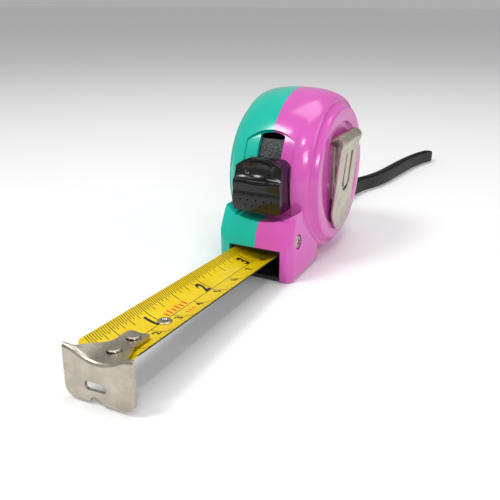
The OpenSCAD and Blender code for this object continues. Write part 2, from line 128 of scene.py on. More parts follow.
class Bench:
    """Modelling steps with Blender's own operators, one object at a time."""

    @staticmethod
    def pick(obj: bpy.types.Object) -> bpy.types.Object:
        """Makes obj the only selected and the active object.

        Args:
            obj: The object to work on.

        Returns:
            The same object.
        """
        bpy.ops.object.select_all(action="DESELECT")
        obj.select_set(True)
        bpy.context.view_layer.objects.active = obj
        return obj

    @classmethod
    def edit(cls, obj: bpy.types.Object, *steps: Callable[[], object]) -> bpy.types.Object:
        """Runs edit-mode steps on all of an object's mesh.

        Args:
            obj: The object to edit.
            steps: Calls to make in edit mode, each on the whole mesh unless it selects less.

        Returns:
            The same object.
        """
        cls.pick(obj)
        bpy.ops.object.mode_set(mode="EDIT")
        bpy.ops.mesh.select_all(action="SELECT")
        for step in steps:
            step()
        bpy.ops.object.mode_set(mode="OBJECT")
        return obj

    @classmethod
    def outline(cls, name: str, points: Sequence[Point3], filled: bool) -> bpy.types.Object:
        """Makes a closed outline from a circle whose corners are moved to the points.

        Args:
            name: Name of the new object.
            points: Corners in order.
            filled: Whether the outline gets a face.

        Returns:
            The new object.
        """
        bpy.ops.object.select_all(action="DESELECT")
        bpy.ops.mesh.primitive_circle_add(
            vertices=len(points), radius=1, fill_type="NGON" if filled else "NOTHING")
        obj = bpy.context.active_object
        obj.name = obj.data.name = name
        for vertex, point in zip(obj.data.vertices, points):
            vertex.co = point
        return obj

    @classmethod
    def prism(cls, name: str, points: Sequence[Point2], axis: Axis, low: float,
              high: float) -> bpy.types.Object:
        """Pulls an outline along an axis into a closed solid.

        Args:
            name: Name of the new object.
            points: Corners in the other two axes, in their XYZ order.
            axis: Axis along which the solid runs.
            low: Where it starts.
            high: Where it ends.

        Returns:
            The new object.
        """
        lifted = []
        for point in points:
            corner = list(point)
            corner.insert(axis.value, low)
            lifted.append(tuple(corner))
        way = [0.0, 0.0, 0.0]
        way[axis.value] = high - low
        obj = cls.outline(name, lifted, True)
        return cls.edit(
            obj,
            lambda: bpy.ops.mesh.extrude_region_move(TRANSFORM_OT_translate={"value": way}),
            lambda: bpy.ops.mesh.select_all(action="SELECT"),
            lambda: bpy.ops.mesh.normals_make_consistent(inside=False))

    @classmethod
    def turned(cls, name: str, profile: Sequence[Point2], steps: int = 96) -> bpy.types.Object:
        """Spins a profile round the Z axis into a closed solid.

        Args:
            name: Name of the new object.
            profile: Corners as radius and height.
            steps: Number of steps in the full turn.

        Returns:
            The new object.
        """
        obj = cls.outline(name, [(r, 0.0, z) for r, z in profile], False)
        return cls.edit(
            obj,
            lambda: bpy.ops.mesh.spin(
                steps=steps, angle=2 * math.pi, center=(0, 0, 0), axis=(0, 0, 1)),
            lambda: bpy.ops.mesh.select_all(action="SELECT"),
            lambda: bpy.ops.mesh.remove_doubles(threshold=0.0005),
            lambda: bpy.ops.mesh.dissolve_degenerate(threshold=0.0001),
            lambda: bpy.ops.mesh.delete_loose(),
            lambda: bpy.ops.mesh.select_all(action="SELECT"),
            lambda: bpy.ops.mesh.normals_make_consistent(inside=False))

    @staticmethod
    def place(obj: bpy.types.Object, matrix: Matrix) -> bpy.types.Object:
        """Moves an object's mesh, so that the object itself stays at the origin.

        Args:
            obj: The object to move.
            matrix: Where its mesh goes.

        Returns:
            The same object.
        """
        obj.data.transform(matrix)
        obj.data.update()
        return obj

    @classmethod
    def apply(cls, obj: bpy.types.Object, kind: str, **settings: object) -> bpy.types.Object:
        """Adds a modifier and applies it.

        Args:
            obj: The object that gets it.
            kind: Blender's name for the modifier.
            settings: Its settings.

        Returns:
            The same object.
        """
        modifier = obj.modifiers.new(kind.lower(), kind)
        for key, value in settings.items():
            setattr(modifier, key, value)
        cls.pick(obj)
        bpy.ops.object.modifier_apply(modifier=modifier.name)
        return obj

    @classmethod
    def combine(cls, obj: bpy.types.Object, how: Join, *tools: bpy.types.Object) -> bpy.types.Object:
        """Adds, cuts or keeps with other solids, which are used up.

        Args:
            obj: The solid worked on.
            how: What the others do to it.
            tools: The other solids.

        Returns:
            The changed object.
        """
        for tool in tools:
            cls.apply(obj, "BOOLEAN", operation=how.value, object=tool, solver="EXACT")
            bpy.data.objects.remove(tool)
        return obj

    @classmethod
    def soften(cls, obj: bpy.types.Object, width: float, segments: int = 2,
               angle: float = 32) -> bpy.types.Object:
        """Rounds every edge sharper than an angle.

        Args:
            obj: The object to round.
            width: Width of the rounding in millimetres.
            segments: Steps across it.
            angle: Smallest angle in degrees that is rounded.

        Returns:
            The same object.
        """
        return cls.apply(obj, "BEVEL", width=width, segments=segments, limit_method="ANGLE",
                         angle_limit=math.radians(angle), use_clamp_overlap=True)

    @classmethod
    def tidy(cls, obj: bpy.types.Object) -> bpy.types.Object:
        """Merges corners that meet and turns all faces outwards.

        Args:
            obj: The object to clean.

        Returns:
            The same object.
        """
        return cls.edit(
            obj,
            lambda: bpy.ops.mesh.remove_doubles(threshold=0.0005),
            lambda: bpy.ops.mesh.delete_loose(),
            lambda: bpy.ops.mesh.select_all(action="SELECT"),
            lambda: bpy.ops.mesh.normals_make_consistent(inside=False))

    @classmethod
    def weld(cls, parts: Sequence[bpy.types.Object], name: str) -> bpy.types.Object:
        """Joins several meshes into one object.

        Args:
            parts: The objects, used up.
            name: Name of the joined object.

        Returns:
            The joined object.
        """
        bpy.ops.object.select_all(action="DESELECT")
        for part in parts:
            part.select_set(True)
        bpy.context.view_layer.objects.active = parts[0]
        if len(parts) > 1:
            bpy.ops.object.join()
        joined = bpy.context.active_object
        joined.name = joined.data.name = name
        return joined

    @classmethod
    def finish(cls, obj: bpy.types.Object, finish: "Finish", body: str | None,
               nodes: Sequence[str] = (), angle: float = 28) -> bpy.types.Object:
        """Turns a piece into metres, dresses it and hands it to its body.

        Args:
            obj: The piece, in millimetres.
            finish: The finish it is made in.
            body: The CAD body it rides on, or None where it is attached to none.
            nodes: CAD nodes that it stands for.
            angle: Edges sharper than this, in degrees, stay sharp.

        Returns:
            The finished piece.
        """
        obj.data.transform(Matrix.Scale(MM, 4))
        cls.pick(obj)
        bpy.ops.object.shade_smooth_by_angle(angle=math.radians(angle))
        if not obj.data.materials:
            obj.data.materials.append(finish.material())
        if body:
            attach(obj, body)
        if nodes:
            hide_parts(*nodes)
        LOG.info("%s: %d faces, %s", obj.name, len(obj.data.polygons), finish.slot)
        return obj


# ---------------------------------------------------------------------------------------------
# Finishes


class Signal:
    """A shader socket that Python's operators work on."""

    def __init__(self, shop: "Shop", socket: bpy.types.NodeSocket) -> None:
        """Wraps a socket of a shop's node tree."""
        self.shop = shop
        self.socket = socket

    def _math(self, how: str, *others: "Signal | float") -> "Signal":
        """Adds a Math node on this value and others."""
        return self.shop.node("ShaderNodeMath", {"operation": how}, self, *others)

    def __add__(self, other: "Signal | float") -> "Signal":
        """Sum."""
        return self._math("ADD", other)

    def __radd__(self, other: float) -> "Signal":
        """Sum, reflected."""
        return self._math("ADD", other)

    def __sub__(self, other: "Signal | float") -> "Signal":
        """Difference."""
        return self._math("SUBTRACT", other)

    def __rsub__(self, other: float) -> "Signal":
        """Difference, reflected."""
        return self.shop.node("ShaderNodeMath", {"operation": "SUBTRACT"}, other, self)

    def __mul__(self, other: "Signal | float") -> "Signal":
        """Product."""
        return self._math("MULTIPLY", other)

    def __rmul__(self, other: float) -> "Signal":
        """Product, reflected."""
        return self._math("MULTIPLY", other)

    def __truediv__(self, other: "Signal | float") -> "Signal":
        """Quotient."""
        return self._math("DIVIDE", other)

    def __abs__(self) -> "Signal":
        """Size without sign."""
        return self._math("ABSOLUTE")

    def __lt__(self, other: "Signal | float") -> "Signal":
        """1 where this is less than other."""
        return self._math("LESS_THAN", other)

    def sine(self) -> "Signal":
        """Sine of this, in radians."""
        return self._math("SINE")

    def clamp(self) -> "Signal":
        """This, kept between 0 and 1."""
        return self.shop.node("ShaderNodeClamp", {}, self)

    def mix(self, low: Colour, high: Colour) -> "Signal":
        """A colour between two, with this as the share of the second."""
        mixer = {"data_type": "RGBA", "blend_type": "MIX"}
        return self.shop.node("ShaderNodeMix", mixer, output=2, named={
            "Factor_Float": self, "A_Color": (*low, 1.0), "B_Color": (*high, 1.0)})


class Shop:
    """The node tree of one material, with a Principled shader ready in it."""

    def __init__(self, name: str) -> None:
        """Starts a material of that name."""
        self.data = bpy.data.materials.new(name)
        self.data.use_nodes = True
        self.tree = self.data.node_tree
        self.shader = self.tree.nodes["Principled BSDF"]

    def node(self, kind: str, settings: dict[str, object] | None = None,
             *values: "Signal | float | Sequence[float]",
             named: dict[str, object] | None = None, output: int | str = 0) -> Signal:
        """Adds a node, sets it and links its inputs.

        Args:
            kind: Blender's type of node.
            settings: The node's own settings.
            values: Values or links of its first inputs, in order.
            named: Values or links of inputs by name or identifier.
            output: Which output is given back.

        Returns:
            The output, wrapped.
        """
        made = self.tree.nodes.new(kind)
        for key, value in (settings or {}).items():
            setattr(made, key, value)
        pairs = list(zip(made.inputs, values))
        for key, value in (named or {}).items():
            socket = next(s for s in made.inputs if key in (s.identifier, s.name))
            pairs.append((socket, value))
        for socket, value in pairs:
            if isinstance(value, Signal):
                self.tree.links.new(value.socket, socket)
            else:
                socket.default_value = value
        return Signal(self, made.outputs[output])

    def here(self, scale: Sequence[float] = (1, 1, 1)) -> Signal:
        """Object coordinates in millimetres, stretched by scale."""
        at = self.node("ShaderNodeTexCoord", output="Object")
        size = [s / MM for s in scale]
        return self.node("ShaderNodeMapping", {}, named={"Vector": at, "Scale": size})

    def surface(self, layer: str, scale: Sequence[float]) -> tuple[Signal, Signal, Signal]:
        """The piece's own UV layer, scaled.

        Args:
            layer: Name of the UV layer.
            scale: Factors on its two axes.

        Returns:
            The vector, and its first and second part.
        """
        at = self.node("ShaderNodeUVMap", {"uv_map": layer})
        wide = self.node("ShaderNodeMapping", {}, named={"Vector": at, "Scale": (*scale, 1)})
        return (wide, self.node("ShaderNodeSeparateXYZ", {}, wide, output=0),
                self.node("ShaderNodeSeparateXYZ", {}, wide, output=1))

    def noise(self, where: Signal, scale: float, detail: float = 3, rough: float = 0.55) -> Signal:
        """Soft noise over a vector.

        Args:
            where: The vector it is read at.
            scale: How many features to a unit of it.
            detail: Layers of finer noise.
            rough: Strength of the finer layers.

        Returns:
            A value around one half.
        """
        return self.node("ShaderNodeTexNoise", {}, named={
            "Vector": where, "Scale": scale, "Detail": detail, "Roughness": rough})

    def ramp(self, value: Signal, low: float, high: float, at: Point2 = (0.0, 1.0)) -> Signal:
        """Maps the range at of a value on to low..high, clamped."""
        return self.node("ShaderNodeMapRange", {"clamp": True}, value, at[0], at[1], low, high)

    def bump(self, height: Signal, strength: float, depth: float) -> Signal:
        """A bumped normal from a height in 0..1, depth in millimetres."""
        return self.node("ShaderNodeBump", {}, output="Normal", named={
            "Height": height, "Strength": strength, "Distance": depth * MM})

    def wire(self, **sockets: "Signal | float | Sequence[float]") -> bpy.types.Material:
        """Sets the shader's sockets; an underscore in a name stands for a space.

        Args:
            sockets: Values or links by socket name.

        Returns:
            The material.
        """
        for key, value in sockets.items():
            socket = self.shader.inputs[key.replace("_", " ")]
            if isinstance(value, Signal):
                self.tree.links.new(value.socket, socket)
            else:
                socket.default_value = value
        return self.data


@dataclass(frozen=True)
class Finish:
    """A finish that pieces are made in, with the name of the slot it belongs to."""

    name: str
    slot: str

    def material(self) -> bpy.types.Material:
        """The material, made once."""
        return bpy.data.materials.get(self.name) or self.build(Shop(self.name))

    def build(self, shop: Shop) -> bpy.types.Material:
        """Wires the material; each finish has its own way."""
        raise NotImplementedError


@dataclass(frozen=True)
class GlossPlastic(Finish):
    """Polished moulded plastic with faint flow marks and hairline scratches."""

    colour: Colour = (0.5, 0.5, 0.5)
    shade: Colour = (0.4, 0.4, 0.4)
    rough: float = 0.16
    coat: float = 0.25

    def build(self, shop: Shop) -> bpy.types.Material:
        """Wires colour clouds, uneven gloss and fine scratches."""
        here = shop.here()
        cloud = shop.noise(here, 0.06, 2)
        speck = shop.noise(here, 2.4, 4, 0.7)
        scratch = shop.noise(shop.here((0.35, 5.0, 1.4)), 1.2, 3, 0.6)
        haze = shop.ramp(scratch, 0.0, 1.0, (0.6, 0.72))
        tone = shop.ramp(cloud, 0.0, 1.0, (0.35, 0.65))
        height = speck * 0.35 + haze * 0.2 + shop.noise(here, 0.35, 2) * 0.45
        return shop.wire(
            Base_Color=tone.mix(self.shade, self.colour),
            Roughness=shop.ramp(speck, self.rough, self.rough + 0.08, (0.4, 0.7)) + haze * 0.06,
            Normal=shop.bump(height, 0.14, 0.06), IOR=1.5, Coat_Weight=self.coat,
            Coat_Roughness=0.06)


@dataclass(frozen=True)
class MattePlastic(Finish):
    """Spark-eroded plastic with a visible grain."""

    colour: Colour = (0.012, 0.012, 0.013)
    worn: Colour = (0.02, 0.02, 0.021)
    grain: float = 2.2
    depth: float = 0.12
    rough: float = 0.5

    def build(self, shop: Shop) -> bpy.types.Material:
        """Wires a pebbled grain whose peaks are rubbed lighter."""
        here = shop.here()
        pebble = shop.node("ShaderNodeTexVoronoi", {"feature": "SMOOTH_F1"}, named={
            "Vector": here, "Scale": self.grain, "Smoothness": 0.6})
        fine = shop.noise(here, self.grain * 2.4, 4, 0.65)
        peaks = shop.ramp(pebble + fine * 0.4, 1.0, 0.0, (0.35, 0.9))
        return shop.wire(
            Base_Color=peaks.mix(self.colour, self.worn),
            Roughness=shop.ramp(fine, self.rough - 0.1, self.rough + 0.12, (0.3, 0.7)),
            Normal=shop.bump(peaks, 0.7, self.depth), IOR=1.49)


@dataclass(frozen=True)
class Nickel(Finish):
    """Nickel plate on pressed steel, with rolling lines, dull patches and small dents."""

    colour: Colour = (0.56, 0.52, 0.44)
    shade: Colour = (0.40, 0.365, 0.30)
    rough: float = 0.2
    lines: Point3 = (0.25, 0.6, 6.0)

    def build(self, shop: Shop) -> bpy.types.Material:
        """Wires stretched scratches over soft clouds."""
        here = shop.here()
        cloud = shop.noise(here, 0.22, 3, 0.6)
        line = shop.noise(shop.here(self.lines), 1.5, 4, 0.7)
        pit = shop.ramp(shop.noise(here, 3.2, 2), 0.0, 1.0, (0.66, 0.74))
        tone = shop.ramp(cloud * 0.7 + line * 0.3, 0.0, 1.0, (0.36, 0.62))
        gloss = shop.ramp(cloud, self.rough, self.rough + 0.14, (0.35, 0.7)) + line * 0.08
        return shop.wire(
            Base_Color=tone.mix(self.shade, self.colour), Metallic=1.0,
            Roughness=gloss + pit * 0.12,
            Normal=shop.bump(line * 0.5 + cloud * 0.8 - pit * 0.3, 0.3, 0.05))


@dataclass(frozen=True)
class Lacquer(Finish):
    """Blade lacquer: a clear gloss over colour, with light rub marks along the blade."""

    colour: Colour = (0.84, 0.62, 0.0)
    shade: Colour = (0.72, 0.50, 0.0)
    rough: float = 0.3

    def build(self, shop: Shop) -> bpy.types.Material:
        """Wires rub marks along the blade and a faint orange-peel."""
        here = shop.here()
        rub = shop.noise(shop.here((2.2, 0.05, 0.5)), 1.0, 4, 0.6)
        peel = shop.noise(here, 1.8, 2)
        cloud = shop.noise(here, 0.1, 2)
        tone = shop.ramp(cloud * 0.5 + rub * 0.5, 0.0, 1.0, (0.35, 0.65))
        return shop.wire(
            Base_Color=tone.mix(self.shade, self.colour),
            Roughness=shop.ramp(rub, self.rough, self.rough + 0.16, (0.35, 0.7)),
            Normal=shop.bump(peel * 0.7 + rub * 0.3, 0.12, 0.05), IOR=1.5)


@dataclass(frozen=True)
class Webbing(Finish):
    """Flat woven strap: ribs across its width and a plain weave between them."""

    colour: Colour = (0.005, 0.005, 0.006)
    worn: Colour = (0.028, 0.028, 0.030)

    def build(self, shop: Shop) -> bpy.types.Material:
        """Wires a weave on the strap's own UV layer, which is in millimetres."""
        vector, along, across = shop.surface("Weave", (1, 1))
        rib = (along * (2 * math.pi / 0.85)).sine() * 0.5 + 0.5
        yarn = (across * (2 * math.pi / 0.55) + along * (math.pi / 0.85)).sine() * 0.5 + 0.5
        fuzz = shop.noise(vector, 3.0, 4, 0.7)
        height = rib * yarn * 0.7 + fuzz * 0.3
        tone = shop.ramp(height, 0.0, 1.0, (0.2, 0.9))
        return shop.wire(
            Base_Color=tone.mix(self.colour, self.worn),
            Roughness=shop.ramp(fuzz, 0.62, 0.82, (0.3, 0.7)),
            Normal=shop.bump(height, 0.8, 0.12), Sheen_Weight=0.1, Sheen_Roughness=0.4)


TEAL = GlossPlastic("Teal ABS", "teal_plastic", (0.0, 0.50, 0.38), (0.0, 0.44, 0.33))
PINK = GlossPlastic("Orchid ABS", "pink_plastic", (0.66, 0.10, 0.47), (0.60, 0.085, 0.42))
GLOSS_BLACK = GlossPlastic("Gloss black", "black_gloss", (0.004, 0.004, 0.005),
                           (0.003, 0.003, 0.004), 0.17, 0.0)
MATTE_BLACK = MattePlastic("Matte black", "black_matte")
COARSE_BLACK = MattePlastic("Coarse black", "black_matte", (0.015, 0.016, 0.017),
                            (0.09, 0.095, 0.1), 1.5, 0.2, 0.42)
ACETAL = MattePlastic("Natural acetal", "white_plastic", (0.68, 0.68, 0.64),
                      (0.75, 0.75, 0.72), 3.0, 0.03, 0.4)
PLATE = Nickel("Nickel plate", "nickel")
CLIP_PLATE = Nickel("Clip nickel", "nickel", (0.60, 0.56, 0.47), (0.44, 0.40, 0.33), 0.24,
                    (0.5, 5.0, 0.3))
STRIP_STEEL = Nickel("Strip steel", "spring_steel", (0.33, 0.34, 0.36), (0.22, 0.23, 0.25), 0.28)
YELLOW = Lacquer("Yellow lacquer", "yellow_blade")
# The blade's black underside; also painted shade on the blade coil, which is dressed all in it so that the
# coil seen through the slot reads dark.
BLACK_BACK_AND_PAINTED_SHADE = Lacquer("Black back and painted shade", "yellow_blade", (0.01, 0.01, 0.011), (0.006, 0.006, 0.007), 0.35)
BLACK_INK = Lacquer("Black ink", "yellow_blade", (0.006, 0.006, 0.006), (0.012, 0.010, 0.006), 0.4)
RED_INK = Lacquer("Red ink", "yellow_blade", (0.72, 0.055, 0.01), (0.78, 0.12, 0.015), 0.4)
BLACK_WEB = Webbing("Black webbing", "black_webbing")


# ---------------------------------------------------------------------------------------------
# Case


@dataclass
class CaseShell:
    """One half of the case: a round body with a nose, a lock recess and a strap pocket."""

    hand: Hand
    name: str
    node: str
    finish: Finish
    radius: float = 27.99
    centre: Point2 = (5.5, 28.05)
    half_width: float = 15.79
    ring_out: float = 22.0
    ring_in: float = 17.6
    pocket_x: float = 14.6
    nose_half: float = 13.4
    mouth_y: float = -30.0
    mouth_half: float = 8.95
    mouth_top: float = 10.2
    cavity_r: float = 25.6
    cavity_half: float = 12.6
    nose_screw: Point2 = (-24.3, 12.3)
    rear_screw: Point2 = (27.11, 35.92)
    strap_pin: Point2 = (23.7, 11.6)
    strap_way: float = -42.0

    def wheel(self, name: str, profile: Sequence[Point2], steps: int = 128) -> bpy.types.Object:
        """Turns a profile of radius and X about the spool's axis.

        Args:
            name: Name of the new object.
            profile: Corners as radius and X.
            steps: Steps in the full turn.

        Returns:
            The new object.
        """
        obj = Bench.turned(name, profile, steps)
        spin = Matrix.Translation((0, *self.centre)) @ Matrix.Rotation(math.pi / 2, 4, "Y")
        return Bench.tidy(Bench.place(obj, spin))

    def rod(self, name: str, at: Point2, radius: float, low: float, high: float) -> bpy.types.Object:
        """A round rod along X at a place in the side view.

        Args:
            name: Name of the new object.
            at: Its Y and Z.
            radius: Its radius.
            low: Where it starts in X.
            high: Where it ends.

        Returns:
            The new object.
        """
        return Bench.prism(name, arc(at, radius, 0, 354, 59), Axis.X, low, high)

    def body(self) -> bpy.types.Object:
        """The round body with its rounded rim, fine groove and raised side ring."""
        r = self.radius
        crown = [0.6 * i for i in range(23)]
        profile = [(0.0, -3.0), (r, -3.0)]
        profile += [(r - 0.0085 * x ** 2 - 2.2e-7 * x ** 6, x) for x in crown]
        profile += [(24.7, 13.62), (24.45, 13.6), (24.3, 13.35), (24.0, 13.35), (23.8, 13.65),
                    (23.5, 13.95), (22.7, 15.1)]
        profile += arc((self.ring_out - 0.2, self.half_width - 1.0), 1.0, 35, 90, 4)
        profile += arc((self.ring_in + 0.4, self.half_width - 0.4), 0.4, 90, 180, 3)
        profile += [(self.ring_in - 0.3, self.pocket_x + 0.3), (self.ring_in - 0.6, self.pocket_x),
                    (0.0, self.pocket_x)]
        return self.wheel("body", profile)

    def nose(self) -> bpy.types.Object:
        """The block below the lock that holds the mouth, with its edges rounded."""
        y = self.mouth_y
        side = [(y, 0.0), (y, self.mouth_top), (y + 1.2, 14.0), (y + 2.8, 17.8), (y + 3.9, 20.2),
                (y + 5.2, 22.0), (y + 7.5, 23.0), (-8.0, 23.6), (-8.0, 0.0)]
        block = Bench.prism("nose", side, Axis.X, -12.0, self.nose_half)
        front = [(-20.0, 0.0), *arc((self.nose_half - 1.6, 1.6), 1.6, -90, 0, 6),
                 *arc((self.nose_half - 2.8, 21.5), 1.8, 0, 90, 8), (-20.0, 23.3)]
        Bench.combine(block, Join.KEEP, Bench.prism("front", front, Axis.Y, y - 2, -7.0))
        plan = [(-21.0, -7.5), (-21.0, y), *arc((self.nose_half - 3.2, y + 3.2), 3.2, -90, 0, 10),
                (self.nose_half, -7.5)]
        return Bench.combine(block, Join.KEEP, Bench.prism("plan", plan, Axis.Z, -1, 30))

    def dish(self) -> bpy.types.Object:
        """The hollow in the top of the nose that follows the button's lower edge."""
        front = [*arc((0, 40.8), 22.9, 233.1, 306.9, 48), (13.75, 27.3), (-13.75, 27.3)]
        return Bench.prism("dish", front, Axis.Y, self.mouth_y - 3.3, -20.77)

    def recess(self) -> bpy.types.Object:
        """The shallow arched recess in which the button rides."""
        half = 8.5
        front = [(-half, 19.0), (half, 19.0), (half, 41.9), *arc((0, 33.2), 12.2, 45.8, 134.2, 16),
                 (-half, 41.9)]
        tool = Bench.prism("recess", front, Axis.Y, self.mouth_y - 4, self.centre[0])
        floor = [(0.0, -12.0), (self.radius - 1.2, -12.0), (self.radius - 1.2, 12.0), (0.0, 12.0)]
        return Bench.combine(tool, Join.CUT, self.wheel("floor", floor))

    def slot(self) -> bpy.types.Object:
        """The open slot that the lock's stem passes through."""
        front = [(-5.0, 21.0), (4.2, 21.0), (4.2, 43.5), *arc((0, 33.2), 11.2, 67.9, 112, 8), (-5.0, 43.5)]
        return Bench.prism("slot", front, Axis.Y, self.mouth_y - 4, 0.5)

    def hollow(self) -> list[bpy.types.Object]:
        """The solids that hollow the shell and open its mouth and pocket."""
        y, top = self.mouth_y, self.mouth_top
        room = [(0.0, -4.0), (self.cavity_r, -4.0), (self.cavity_r, 9.9),
                (self.cavity_r - 2.4, self.cavity_half), (0.0, self.cavity_half)]
        inside = [(y + 1.6, 1.6), (y + 1.6, top + 0.6), (y + 4.6, 16.4), (-8.1, 18.9), (-8.1, 1.6)]
        way = [math.cos(math.radians(self.strap_way)), math.sin(math.radians(self.strap_way))]
        far = (self.strap_pin[0] + 12 * way[0], self.strap_pin[1] + 12 * way[1])
        pocket = arc(self.strap_pin, 3.4, self.strap_way + 90, self.strap_way + 270, 24)
        pocket += arc(far, 3.4, self.strap_way - 90, self.strap_way + 90, 1)
        return [
            self.wheel("room", room),
            Bench.prism("nose room", inside, Axis.X, -5, self.nose_half - 1.8),
            Bench.prism("mouth", [(-6.0, -1.0), (self.mouth_half, -1.0), (self.mouth_half, top),
                                  (-6.0, top)], Axis.Y, y - 3, y + 3),
            Bench.prism("guide room", [(-6.0, -1.2), (10.1, -1.2), (10.1, top + 0.02),
                                       (-6.0, top + 0.02)], Axis.Y, y + 1.65, y + 17.4),
            Bench.prism("channel", [(-14.0, 1.9), (-14.0, 12.0), (3.0, 9.0), (3.0, 2.4), (-8.0, 1.9)],
                        Axis.X, -4, 8.8),
            Bench.prism("pocket", pocket, Axis.X, -4, 4.8)]

    def build(self) -> bpy.types.Object:
        """Models the shell and dresses it.

        Returns:
            The finished shell.
        """
        shell = self.body()
        foot = [(-12.0, 0.0), (16.0, 0.0), (20.0, 3.0), (-12.0, 3.0)]
        nose = Bench.soften(self.nose(), 0.45, 3, 40)
        Bench.tidy(Bench.combine(nose, Join.CUT, self.dish()))
        Bench.combine(shell, Join.ADD, nose, Bench.prism("foot", foot, Axis.X, -2.5, 9.0))
        Bench.tidy(shell)
        hollow = self.hollow()
        pocket = hollow.pop()
        for room in hollow:
            Bench.tidy(Bench.combine(shell, Join.CUT, room))
        bosses = [self.rod("boss", self.nose_screw, 2.05, -3.5, self.cavity_half - 1.4),
                  self.rod("boss", self.rear_screw, 2.2, -3.5, self.cavity_half + 0.1),
                  self.rod("boss", self.centre, 4.5, 10.5, self.cavity_half + 0.3),
                  self.rod("boss", self.strap_pin, 6.2, -3.0, 6.4)]
        fence = [(0.0, -6.0), (27.6, -6.0), (27.6, 20.0), (0.0, 20.0)]
        Bench.combine(bosses[3], Join.KEEP, self.wheel("fence", fence))
        Bench.combine(shell, Join.ADD, *bosses)
        holes = [self.rod("hole", at, 1.3, -6, 20) for at in (self.nose_screw, self.rear_screw)]
        holes += [self.rod("hole", self.centre, 1.5, -6, 20),
                  self.rod("hole", self.centre, 2.61, -6, 12.51),
                  self.rod("hole", self.strap_pin, 1.3, -6, 6.0)]
        if self.hand is Hand.CLIP:
            holes += [self.rod("head", self.nose_screw, 2.5, 12.0, 18),
                      self.rod("head", self.rear_screw, 2.5, 13.4, 18)]
        Bench.combine(shell, Join.CUT, pocket, self.recess(), self.slot(), *holes)
        Bench.edit(
            shell,
            lambda: bpy.ops.mesh.bisect(plane_co=(0.02, 0, 0), plane_no=(1, 0, 0),
                                        use_fill=True, clear_inner=True))
        Bench.tidy(shell)
        if self.hand is Hand.PLAIN:
            Bench.place(shell, Matrix.Scale(-1, 4, (1, 0, 0)))
            Bench.tidy(shell)
        shell.name = shell.data.name = self.name
        return Bench.finish(shell, self.finish, "case", [self.node])


# ---------------------------------------------------------------------------------------------
# Blade


